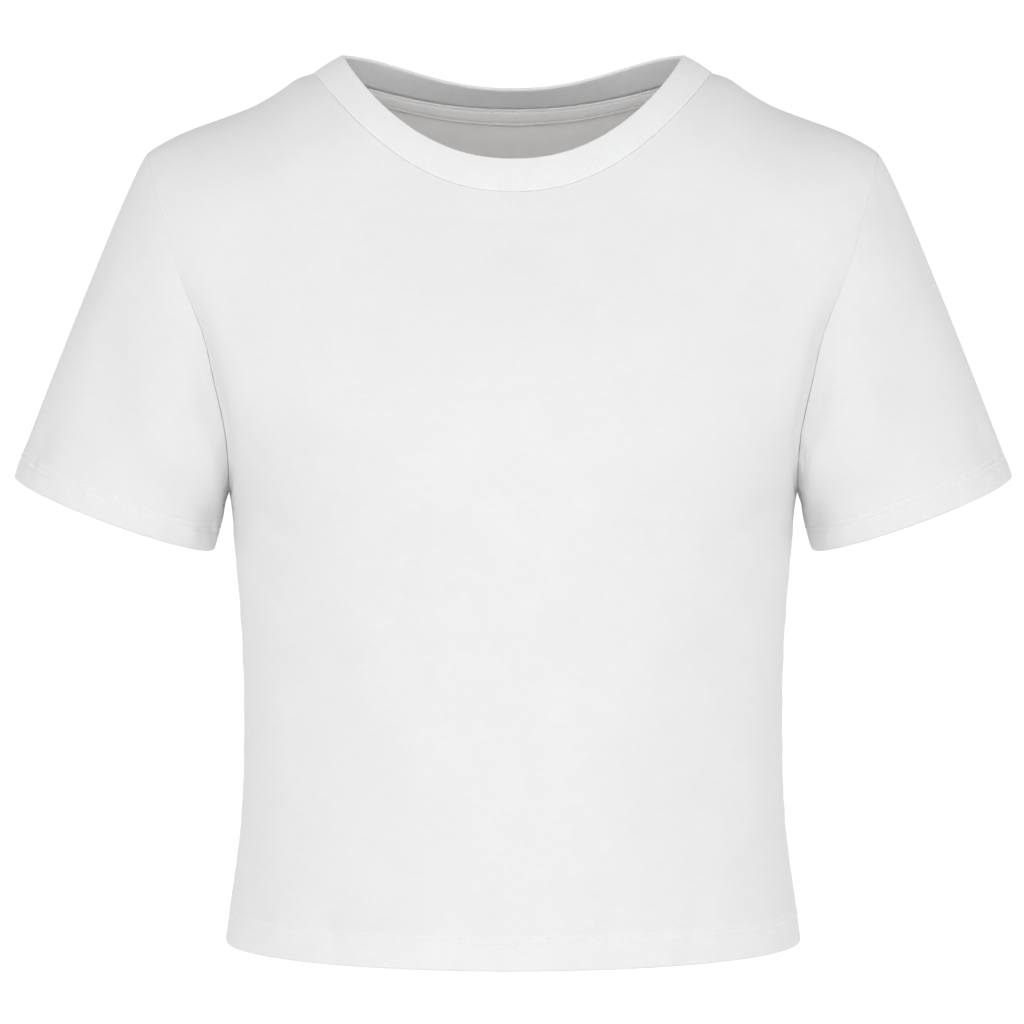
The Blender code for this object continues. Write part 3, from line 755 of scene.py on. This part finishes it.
def panel_surface(face, t, level):
    """Outer points and directions of a panel before its edges are rolled."""
    q, v = panel_chart(face, t, level)
    points, normals = torso(face, q, v), torso_normal(face, q, v)
    x, z = points[..., 0], points[..., 2]
    above = np.clip(level - 1, 0, 1)
    quiet = ease((1 - np.abs(t)) / 0.15) * ease((1 - above) / 0.25)
    height = fold_height(FOLDS, face, x, z, True) * quiet
    height += fold_height(CREASES, face, x, z, False) * quiet
    height += hem_pull(z - HEM_Z, BODY_HEM, q, 10 + TWIN[face])
    return points + normals * height[..., None], normals, q, v


def make_panel(face):
    half = graded(PANEL_HALF, CELL)
    columns = np.concatenate((-half[:0:-1], half))
    body_height = UNDERARM_Z - HEM_Z
    body = finer_at(HEM_RADIUS, body_height, CELL, [BODY_HEM - n for n in NEEDLES])
    levels = np.concatenate((body / body_height, 1 + graded(YOKE, CELL)[1:]))[::-1]
    t, level = np.meshgrid(columns, levels)
    points, normals, q, v = panel_surface(face, t, level)
    across, down = run_length(points, 1), run_length(points)
    to_side = np.minimum(across, across[:, -1:] - across)
    side = np.where(t < 0, -1.0, 1.0)
    mirror = np.stack((side, side * side, side * side), -1)
    # the armhole turns the side edges its own way, and the neck seam the top edge
    w = np.clip(level - 1, 0, 1)
    around = (1 - w) / 2 if face == "front" else (1 + w) / 2
    both, seam_way = [way[:, None] * mirror for way in armhole_edge(around[:, -1])[:2]]
    near = ease(1 - to_side / SEAM_REACH)[..., None]
    way = blended(normals, seam_way, near * (level > 1)[..., None])
    near_top = ease(1 - down / NECK_REACH)[..., None]
    top_way = neck_edge(face, np.abs(columns)) * mirror
    way = np.where((np.abs(t) <= NECK_SHARE)[..., None], blended(way, top_way, near_top), way)
    pucker = PUCKER * seam_pucker(to_side, down, 0.014, 20 + TWIN[face])
    drop = np.maximum(roll_drop(to_side, armhole_roll(w)), roll_drop(down))
    below = np.minimum(level - 1, 0) * body_height
    trough = armpit_trough(to_side, w, False) * bell(below, ARMPIT_FADE)
    points = points + way * (pucker - drop)[..., None]
    points = points + blended(normals, both, near) * trough[..., None]
    inset = to_side[0] > END_GAP
    lines = [(points[row][inset], normals[row][inset])
             for row in stitch_rows(levels * body_height, BODY_HEM)]
    hem = hem_turned(points, normals, HEM_RADIUS, BODY_HEM, 8)
    flat = flat_with_hem(q, v, v[-1:], BODY_HEM, len(hem))
    # the cut edges that stand inside: one column more at each side, one row at the top
    way = np.pad(way, ((0, len(hem)), (1, 1), (0, 0)), "edge")
    flat = np.pad(flat, ((1, 0), (1, 1), (0, 0)), "edge")
    points = np.pad(np.concatenate((points, hem)), ((0, 0), (1, 1), (0, 0)), "edge")
    points[:, [0, -1]] -= ALLOWANCE * way[:, [0, -1]]
    points = np.concatenate((points[:1] - NECK_ALLOWANCE * way[:1], points))
    return cloth_sheet(face + "_panel", points, flat, turned=face == "front"), lines


front_cloth, front_lines = make_panel("front")
back_cloth, back_lines = make_panel("back")

# %% [markdown]
# ## Sleeves
# A sleeve is one tube, set into the armhole all round and turned up at its opening.
# Its rows keep an even distance from the seam, so the first ones make the roll.
# The grid's first and last columns lie under the arm and are welded there, and a fine
# groove marks the underarm seam.

# %% Sleeves
SLEEVE_GIRTH = 0.340            # round the tube, for its flat places
UNDERARM_GROOVE = 0.0006
HEM_ZONE = 0.024                # where the rows lie closer, for the stitches
SLEEVE_COLUMNS = 161
SLEEVE_ROWS = 56                # from the seam to the hem's zone


def make_sleeve(side):
    columns = np.linspace(0.5, 1.5, SLEEVE_COLUMNS)
    hem = finer_at(HEM_RADIUS, HEM_ZONE, 0.002, [SLEEVE_HEM - n for n in NEEDLES])[::-1]
    around_fine, along_fine = np.meshgrid(columns, np.linspace(0, 1, 241))
    run_fine = run_length(sleeve(around_fine, along_fine))
    total = run_fine[-1:]
    near = np.array(EDGE_STEPS)[:, None] + 0 * total
    share = np.linspace(0, 1, SLEEVE_ROWS)[1:-1, None]
    middle = near[-1:] + (total - hem[0] - near[-1:]) * share
    down = np.concatenate((near, middle, total - hem[:, None]))
    along = np.stack([np.interp(*line) for line in zip(down.T, run_fine.T, along_fine.T)], -1)
    around = columns + 0 * along
    points, normals = sleeve(around, along), sleeve_normal(around, along)
    run = run_length(points, 1)
    height = sleeve_fold_height(around % 1, along) * ease(along / 0.15)
    height += 1.5 * hem_pull(total - down, SLEEVE_HEM, run, 30 + TWIN[side])
    height += 1.2 * PUCKER * seam_pucker(down, run, 0.012, 40 + TWIN[side])
    under = np.minimum(around - 0.5, 1.5 - around) * run[:, -1:]
    height -= UNDERARM_GROOVE * bell(under, 0.0012)
    both, _, seam_way = armhole_edge(columns % 1)
    near = ease(1 - down / SEAM_REACH)[..., None]
    way = blended(normals, seam_way, near)
    w = np.abs(1 - 2 * (around % 1))
    points = points + way * (height - roll_drop(down, armhole_roll(w)))[..., None]
    points = points + blended(normals, both, near) * armpit_trough(down, w, True)[..., None]
    mirror = np.array((side, 1, 1))
    lines = [(points[row] * mirror, normals[row] * mirror)
             for row in stitch_rows((total - down)[:, 0], SLEEVE_HEM)]
    hem = hem_turned(points, normals, HEM_RADIUS, SLEEVE_HEM, 7)
    girth = (around - 0.5) * SLEEVE_GIRTH
    flat = flat_with_hem(girth, total - down, 0 * total, SLEEVE_HEM, len(hem))
    flat = np.concatenate((flat[:1], flat))
    points = np.concatenate((points[:1] - ALLOWANCE * way[:1], points, hem)) * mirror
    node = "sleeve_right" if side == RIGHT else "sleeve_left"
    return cloth_sheet(node, points, flat, closed=True, turned=side == LEFT), lines


sleeve_right_cloth, right_lines = make_sleeve(RIGHT)
sleeve_left_cloth, left_lines = make_sleeve(LEFT)

# %% [markdown]
# ## The neck rib
# The neckband is a strip of rib knit, folded along its upper edge and sewn to the
# neckline with both raw edges together. It is made as one sheet: up the outside, over
# the fold and down the inside, swept round both halves of the neck.

# %% Neck rib
RIB_STEPS = 121         # from the middle of the front or the back to the shoulder


def make_rib():
    share = np.linspace(0, 1, RIB_STEPS)
    front, back = [rib_frame(face, neck_angle(face, share)) for face in ("front", "back")]
    whole = []
    for k, (first, second) in enumerate(zip(front, back)):
        right = np.concatenate((first, second[::-1][1:]))
        mirror = np.array((-1, 1, 1)) if k < 4 else 1
        whole.append(np.concatenate((right, right[::-1][1:] * mirror)))
    seam, up, out, edge, width = whole
    run = run_length(seam)
    radius = RIB_WALL / 2
    straight = width - radius
    middle = straight.mean()
    # each course of the band: its rise, how far it stands out, its place on the flat band
    courses = []
    for bend in np.linspace(0, np.pi / 2, 6)[1:]:
        rise = ROLL * (1 - np.cos(bend))
        courses.append((rise, -ROLL * (1 - np.sin(bend)), rise))
    for part in np.linspace(0, 1, 10)[1:]:
        rise = ROLL + (straight - ROLL) * part
        courses.append((rise, RIB_CROWN * np.sin(np.pi * part) ** 0.8, rise.mean()))
    for bend in np.linspace(0, np.pi, 11)[1:]:
        rise = straight + radius * np.sin(bend)
        courses.append((rise, radius * (np.cos(bend) - 1), middle + radius * bend))
    for part in np.linspace(0, 1, 9)[1:]:
        rise = straight * (1 - part) + ROLL * part
        courses.append((rise, -2 * radius, middle * (1 + part) + radius * np.pi))
    points = [seam - edge * (inside + ROLL) for inside in (NECK_ALLOWANCE, 0.0)]
    points += [seam + up * rise + out * (RIB_RAISE + swell) for rise, swell, _ in courses]
    along = [-NECK_ALLOWANCE - ROLL, -ROLL] + [at for _, _, at in courses]
    flat = np.stack(np.broadcast_arrays(run[None], np.array(along)[:, None]), -1)
    print("neck seam", round(float(run[-1]), 3), "m round")
    return cloth_sheet("neck_rib", np.array(points), flat, RIB_CLOTH, closed=True)


rib_cloth = make_rib()

# %% [markdown]
# ## Neck tape
# Inside the back of the neck the raw seam is covered with a narrow woven tape, sewn
# down along both edges. It follows the neck seam just below it, so its points come
# from the back panel's own surface, moved inward.

# %% Neck tape
TAPE_NEEDLES = (0.14, 0.86)     # its two stitch lines, as shares of its width
TAPE_DEPTH = 0.0023             # how far it lies below the back's outer face


def make_tape():
    t = np.linspace(-0.97, 0.97, 161) * NECK_SHARE
    middle = NECK_LINE["back_seam"]["side_z"] - NECK_LINE["back_seam"]["drop"]
    below = 1 - TAPE_WIDTH / (middle - UNDERARM_Z)
    rows, lines = [], []
    for across in finer_at(0.0, 1.0, 0.1, TAPE_NEEDLES, 0.10):
        w = below + (1 - below) * (0.95 * across)
        points, normals, _, _ = panel_surface("back", t, np.full(t.shape, 1 + w))
        deep = TAPE_DEPTH + 0.0003 * math.sin(math.pi * across)
        deep -= sum(0.0003 * bell(across - needle, 0.07) for needle in TAPE_NEEDLES)
        rows.append(points - normals * deep)
        if min(abs(across - needle) for needle in TAPE_NEEDLES) < 1e-6:
            lines.append((rows[-1], -normals))
    points = np.array(rows)
    flat = np.stack((run_length(points, 1), run_length(points)), -1)
    print("neck tape", round(float(flat[0, -1, 0]), 3), "m long")
    return cloth_sheet("neck_tape", points, flat, TAPE_CLOTH), lines


tape_cloth, tape_lines = make_tape()

# %% [markdown]
# ## Stitches
# A twin needle closes each hem with two rows of straight stitches. On the real shirt
# each stitch is a short length of thread pulled into the cloth, so each one here is a
# small flattened ball, longer than wide, half sunk in the groove that the hem already
# has. Blender's sphere operator makes every one, and a matrix lays it along its line.

# %% Stitch maker
STITCH = 0.0024
STITCH_PITCH = 0.0029
THREAD = 0.00024
BATCH = 24              # spheres made at a time, since adding one to many is slow


def stitch_places(points, normals, closed):
    """Where each stitch of one row lies, as matrices."""
    run = run_length(points)
    if closed:
        centres = np.linspace(0, run[-1], int(run[-1] / STITCH_PITCH) + 1)[:-1]
    else:
        centres = np.arange(STITCH_PITCH, run[-1] - STITCH_PITCH, STITCH_PITCH)
    places = []
    for centre in centres:
        at, ahead, behind = [Vector(read_along(points, run, centre + step))
                             for step in (0.0, 0.001, -0.001)]
        out = Vector(read_along(normals, run, centre)).normalized()
        along = (ahead - behind).normalized()
        across = out.cross(along).normalized()
        turn = Matrix((along, across, along.cross(across))).transposed().to_4x4()
        size = Matrix.Diagonal((STITCH / 2, THREAD, THREAD, 1.0))
        places.append(Matrix.Translation(at) @ turn @ size)
    return places


def stitches(name, lines, closed=False):
    """One mesh of all stitches along lines, each given as points and directions out."""
    places = [place for line in lines for place in stitch_places(*line, closed)]
    bm = bmesh.new()
    for start in range(0, len(places), BATCH):
        few = bmesh.new()
        for place in places[start:start + BATCH]:
            bmesh.ops.create_uvsphere(few, u_segments=6, v_segments=5, radius=1.0,
                                      matrix=place)
        batch = bpy.data.meshes.new("few_stitches")
        few.to_mesh(batch)
        few.free()
        bm.from_mesh(batch)
        bpy.data.meshes.remove(batch)
    bmesh.ops.recalc_face_normals(bm, faces=bm.faces)
    piece = new_piece(name, bm)
    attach(piece, "root")
    print(name, len(places), "stitches")
    return piece


front_hem = stitches("front_hem_stitches", front_lines)
back_hem = stitches("back_hem_stitches", back_lines)
right_hem = stitches("sleeve_right_stitches", right_lines, True)
left_hem = stitches("sleeve_left_stitches", left_lines, True)
tape_stitches = stitches("neck_tape_stitches", tape_lines)

# %% [markdown]
# ## Knit
# Jersey is a knit of rows of loops. From the outside the loops' legs stand in upright
# columns of small Vs, called wales. The height of that pattern is worked out from the
# cloth UV map, which is in metres: the distance to the middle of a leg gives the round
# of the yarn, and a wave that runs along it, shifted by the leg's slope, gives the Vs.
# It is mostly a bump, because a loop is about a millimetre wide, and it also makes the colour
# a little darker in its hollows, as painted shade.

# %% Node helpers
def fill(tree, target, values):
    """Sets a node's sockets, or links them where the value is another node's output."""
    for socket, value in values.items():
        if isinstance(value, bpy.types.NodeSocket):
            tree.links.new(value, target.inputs[socket])
        else:
            target.inputs[socket].default_value = value


def node(tree, kind, values=None, **settings):
    made = tree.nodes.new("ShaderNode" + kind)
    for name, value in settings.items():
        setattr(made, name, value)
    fill(tree, made, values or {})
    return made


def maths(operation, *values):
    """The result of a Math node, which stands in the tree of the outputs it reads."""
    tree = next(v.id_data for v in values if isinstance(v, bpy.types.NodeSocket))
    return node(tree, "Math", dict(enumerate(values)), operation=operation).outputs[0]


def noise(tree, place, scale, detail=2.0, stretch=(1.0, 1.0, 1.0)):
    stretched = node(tree, "Mapping", {"Vector": place, "Scale": stretch}).outputs[0]
    values = {"Vector": stretched, "Scale": scale, "Detail": detail}
    return node(tree, "TexNoise", values).outputs["Fac"]


def map_range(tree, value, source, target, kind="LINEAR"):
    values = {"Value": value, "From Min": source[0], "From Max": source[1],
              "To Min": target[0], "To Max": target[1]}
    return node(tree, "MapRange", values, interpolation_type=kind).outputs[0]


def bump(tree, height, strength, distance, under=None):
    values = {"Height": height, "Strength": strength, "Distance": distance}
    if under is not None:
        values["Normal"] = under
    return node(tree, "Bump", values).outputs[0]


def cloth_place(tree):
    """The cloth's flat place in metres, across and along."""
    flat = node(tree, "UVMap", uv_map="cloth").outputs[0]
    split = node(tree, "SeparateXYZ", {0: flat})
    return split.outputs["X"], split.outputs["Y"]


def object_place(tree):
    return node(tree, "TexCoord").outputs["Object"]


def new_finish(name):
    """A new material, its tree and its shader."""
    made = bpy.data.materials.new(name)
    made.use_nodes = True
    return made, made.node_tree, made.node_tree.nodes["Principled BSDF"]


# %% Yarn patterns
WALE, COURSE = 0.00105, 0.00080         # one loop of jersey, wide and high
RIB_PITCH, RIB_COURSE = 0.0016, 0.0009
TWILL = 0.0013
TURN = 2 * math.pi


def loops_of_yarn(across, along, wale=WALE, course=COURSE):
    """Height of jersey: columns of Vs, wale wide and course high."""
    column = maths("FRACT", maths("MULTIPLY", across, 1 / wale))
    half = maths("ABSOLUTE", maths("SUBTRACT", column, 0.5))
    leg = maths("MULTIPLY", maths("SUBTRACT", half, 0.25), 4.0)
    round_leg = maths("SUBTRACT", 1.0, maths("MULTIPLY", leg, leg))
    slope = maths("MULTIPLY", half, 1.5)
    phase = maths("ADD", maths("MULTIPLY", along, 1 / course), slope)
    wave = maths("SINE", maths("MULTIPLY", phase, TURN))
    return maths("MULTIPLY", round_leg, maths("MULTIPLY_ADD", wave, 0.25, 0.75))


def purl_of_yarn(across, along):
    """The inside of jersey: the loops' heads, in short rows that run across."""
    row = maths("SINE", maths("MULTIPLY", along, TURN / COURSE))
    bead = maths("SINE", maths("MULTIPLY", across, TURN / WALE))
    return maths("MULTIPLY_ADD", maths("MULTIPLY_ADD", bead, 0.35, row), 0.35, 0.5)


def ribs_of_yarn(across, along):
    """Height of rib knit: rounded ribs across the band with small Vs on them."""
    turn = maths("MULTIPLY", across, TURN / RIB_PITCH)
    ridge = maths("MULTIPLY_ADD", maths("COSINE", turn), 0.5, 0.5)
    small = loops_of_yarn(across, along, RIB_PITCH / 2, RIB_COURSE)
    return maths("MULTIPLY_ADD", small, 0.25, ridge)


def twill_of_yarn(across, along):
    """Height of a narrow tape: slanted ridges that turn back along its middle."""
    away = maths("ABSOLUTE", maths("SUBTRACT", along, TAPE_WIDTH / 2))
    phase = maths("MULTIPLY", maths("ADD", across, away), TURN / TWILL)
    return maths("MULTIPLY_ADD", maths("SINE", phase), 0.5, 0.5)


print("jersey of", round(0.01 / WALE, 1), "wales and", round(0.01 / COURSE, 1),
      "courses to the centimetre")

# %% [markdown]
# ## Cotton
# White cotton is never one flat white. Dye and light take a little unevenly, the yarn
# is thicker in places, and fine fibres catch light at the edges. So the colour moves
# by a percent or two with noise of two sizes, the roughness moves with it, a very low
# sheen stands for the fibres, and soft dents a few centimetres wide lie under the knit.

# %% Cotton finishes
BROAD, SLUB = 38.0, 420.0               # noise scales of the dye and of the yarn
WHITE = (0.840, 0.840, 0.840)
DOUBLE = (0.875, 0.875, 0.875)          # two layers let less light through
SLEEVE_PAINTED_SHADE_WHITE = (0.815, 0.815, 0.815)    # darker than the body's white: painted shade of the sleeves turning from the light
# the reverse side is lighter than the face: painted light for the shaded inside of the neck;
# its warm tint is its own
INSIDE_PAINTED_LIGHT = (0.905, 0.893, 0.886)
TAPE_WHITE = (0.95, 0.945, 0.94)


def cotton(name, colour, pattern, depth, seed, hem=None, thicker=1.0, through=0.0):
    """Cotton with the bumps of its knit. The turned hem is thicker times as white."""
    made, tree, shader = new_finish(name)
    across, along = cloth_place(tree)
    place = object_place(tree)
    knit = pattern(across, along)
    broad = noise(tree, place, BROAD + seed)
    slub = noise(tree, place, SLUB + seed, stretch=(0.35, 0.35, 1.0))
    tone = maths("ADD", maths("MULTIPLY", broad, 0.55), maths("MULTIPLY", slub, 0.45))
    # the knit term makes the colour up to three percent darker in the hollows between the
    # loops: painted shade
    shade = maths("MULTIPLY", map_range(tree, tone, (0.25, 0.75), (0.975, 1.015)),
                  maths("MULTIPLY_ADD", knit, 0.03, 0.975))
    if hem is not None:
        # the turned hem is two layers thick, so less light goes through and it is whiter
        edge = map_range(tree, along, (hem - 0.0002, hem + 0.0006), (thicker, 1.0))
        shade = maths("MULTIPLY", shade, edge)
    height = maths("ADD", knit, maths("MULTIPLY", slub, 0.5))
    fill(tree, shader, {
        "Base Color": node(tree, "VectorMath", {0: colour, "Scale": shade},
                           operation="SCALE").outputs[0],
        "Roughness": maths("MULTIPLY_ADD", tone, -0.10, 0.97),
        "Specular IOR Level": 0.15,
        "Sheen Weight": 0.015,
        "Sheen Roughness": 0.45,
        "Subsurface Weight": through,
        "Subsurface Radius": (1.0, 0.95, 0.9),
        "Subsurface Scale": 0.0012,
        "Normal": bump(tree, height, 0.35, depth, bump(tree, broad, 0.5, 0.0006)),
    })
    return made


def thread_finish():
    made, tree, shader = new_finish("white_thread")
    ply = noise(tree, object_place(tree), 2600.0, 1.0, (1.0, 1.0, 0.35))
    tone = node(tree, "Mix", {"A": (0.84, 0.84, 0.84, 1), "B": (0.91, 0.91, 0.91, 1),
                              "Factor": ply}, data_type="RGBA")
    fill(tree, shader, {
        "Base Color": tone.outputs["Result"],
        "Roughness": maths("MULTIPLY_ADD", ply, 0.2, 0.5),
        "Sheen Weight": 0.05,
        "Normal": bump(tree, ply, 0.4, 0.00005),
    })
    return made


jersey = cotton("white_jersey", WHITE, loops_of_yarn, 0.00012, 0.0, HEM_Z + BODY_HEM, 1.02)
# the sleeves' cotton is a little darker than the body's, as painted shade
sleeve_jersey = cotton("sleeve_jersey_painted_shade", SLEEVE_PAINTED_SHADE_WHITE, loops_of_yarn, 0.00012, 3.0,
                       SLEEVE_HEM, 1.01)
reverse = cotton("white_jersey_inside", INSIDE_PAINTED_LIGHT, purl_of_yarn, 0.00015, 5.0, through=0.5)
rib_knit = cotton("white_rib_knit", DOUBLE, ribs_of_yarn, 0.00014, 1.5, through=0.35)
tape_weave = cotton("white_tape_weave", TAPE_WHITE, twill_of_yarn, 0.00015, 2.0)
thread = thread_finish()
FINISHES = (jersey, sleeve_jersey, reverse, rib_knit, tape_weave, thread)
print("finishes:", ", ".join(finish.name for finish in FINISHES))

# %% Dress the pieces
OUTFIT_COLUMNS = ("cloth", "finishes", "slot", "stitches", "width", "length")
OUTFIT = rows_of(OUTFIT_COLUMNS, [
    (front_cloth, (jersey, reverse), "front_jersey", [front_hem], 0.452, 0.532),
    (back_cloth, (jersey, reverse), "back_jersey", [back_hem], 0.436, 0.536),
    (sleeve_right_cloth, (sleeve_jersey, reverse), "right_sleeve_jersey", [right_hem],
     0.358, 0.205),
    (sleeve_left_cloth, (sleeve_jersey, reverse), "left_sleeve_jersey", [left_hem],
     0.358, 0.205),
    (rib_cloth, (rib_knit,), "neck_rib_knit", [], 0.560, 0.048),
    (tape_cloth, (tape_weave,), "neck_tape_weave", [tape_stitches], 0.252, 0.0105),
])
for row in OUTFIT:
    for finish in row["finishes"]:
        row["cloth"].data.materials.append(finish)
    for stitched in row["stitches"]:
        stitched.data.materials.append(thread)
print("dressed", len(OUTFIT), "pieces of cloth and their stitches")

# %% [markdown]
# ## The cut
# Each piece was flat before it was sewn. Its cut is stated in the table above as the sheet's
# width and length, so that the cloth can be measured against what a maker would lay on the
# table.


# %% [markdown]
# ## Light
# White cloth on white needs light from nearly all round: strongest from the front and
# from low behind, weakest from above, so the shoulders turn away softly. The studio is
# a world of broad soft lobes: each has a direction, a strength, and a mirror twin on
# the other side, which reading the side with no sign gives for free. The room itself
# is seen as plain white.

# %% Soft studio
LOBE_COLUMNS = ("name", "azimuth", "elevation", "strength")
LOBES = [
    ("front", 0.0, 15.0, 1.74),
    ("low front", 0.0, -12.0, 0.17),
    ("low half sides", 40.0, -12.0, 0.81),
    ("half sides", 40.0, 15.0, 0.43),
    ("low sides", 80.0, -12.0, 0.20),
    ("high sides", 80.0, 45.0, 0.56),
    ("low sides behind", 120.0, -12.0, 1.28),
    ("high sides behind", 120.0, 45.0, 0.22),
    ("low behind", 165.0, -12.0, 0.51),
    ("behind", 165.0, 15.0, 0.88),
]
SHARPNESS = 7.0         # how quickly a lobe fades away from its direction
ROOM_WHITE = 1.05


def studio():
    world = bpy.data.worlds.new("studio")
    bpy.context.scene.world = world
    world.use_nodes = True
    tree = world.node_tree
    tree.nodes.clear()
    place = node(tree, "TexCoord").outputs["Generated"]
    x, y, z = node(tree, "SeparateXYZ", {0: place}).outputs
    way = node(tree, "CombineXYZ", {0: maths("ABSOLUTE", x), 1: y, 2: z}).outputs[0]
    total = 0.0
    for lobe in rows_of(LOBE_COLUMNS, LOBES):
        a, e = math.radians(lobe["azimuth"]), math.radians(lobe["elevation"])
        toward = (math.sin(a) * math.cos(e), -math.cos(a) * math.cos(e), math.sin(e))
        facing = node(tree, "VectorMath", {0: way, 1: toward},
                      operation="DOT_PRODUCT", label=lobe["name"]).outputs["Value"]
        glow = maths("EXPONENT", maths("MULTIPLY_ADD", facing, SHARPNESS, -SHARPNESS))
        total = maths("MULTIPLY_ADD", glow, lobe["strength"], total)
    light, room = [
        node(tree, "Background", {"Color": (1, 1, 1, 1), "Strength": strength}).outputs[0]
        for strength in (total, ROOM_WHITE)]
    seen = node(tree, "LightPath").outputs["Is Camera Ray"]
    mix = node(tree, "MixShader", {0: seen, 1: light, 2: room}).outputs[0]
    node(tree, "OutputWorld", {"Surface": mix})
    bpy.context.scene.view_settings.view_transform = "Standard"


studio()
print("studio of", len(LOBES), "soft lobes")

# %% [markdown]
# ## Floor
# The shirt is filled out as if a person wore it, so it hangs at that height over a
# plain pale floor, which throws soft light up into the sleeves and the hem. The floor
# is a round disc, and what the eye sees of it fades into the white room at its rim.

# %% Floor
FLOOR_Z = -1.45
FLOOR_RADIUS = 3.6
FADE = (0.5, 0.95 * FLOOR_RADIUS)       # from here to here the floor turns white
FLOOR_GLOW = 0.15


def pale_floor():
    bm = bmesh.new()
    bmesh.ops.create_circle(bm, cap_ends=True, segments=96, radius=FLOOR_RADIUS,
                            matrix=Matrix.Translation((0, 0, FLOOR_Z)))
    floor = new_piece("studio_floor", bm)
    made, tree, shader = new_finish("pale_floor")
    place = object_place(tree)
    grain = noise(tree, place, 30.0, 3.0)
    fill(tree, shader, {
        "Base Color": (0.9, 0.9, 0.9, 1),
        "Roughness": maths("MULTIPLY_ADD", grain, 0.1, 0.8),
        "Emission Color": (1, 1, 1, 1),
        "Emission Strength": FLOOR_GLOW,
    })
    flat = node(tree, "VectorMath", {0: place, 1: (1, 1, 0)}, operation="MULTIPLY")
    away = node(tree, "VectorMath", {0: flat.outputs[0]}, operation="LENGTH")
    fade = map_range(tree, away.outputs["Value"], FADE, (0.0, 1.0), "SMOOTHSTEP")
    seen = maths("MULTIPLY", fade, node(tree, "LightPath").outputs["Is Camera Ray"])
    white = node(tree, "Emission", {"Strength": ROOM_WHITE}).outputs[0]
    mix = node(tree, "MixShader", {0: seen, 1: shader.outputs[0], 2: white}).outputs[0]
    fill(tree, tree.nodes["Material Output"], {"Surface": mix})
    floor.data.materials.append(made)
    print("floor", round(-FLOOR_Z, 2), "m below the shoulders")


pale_floor()
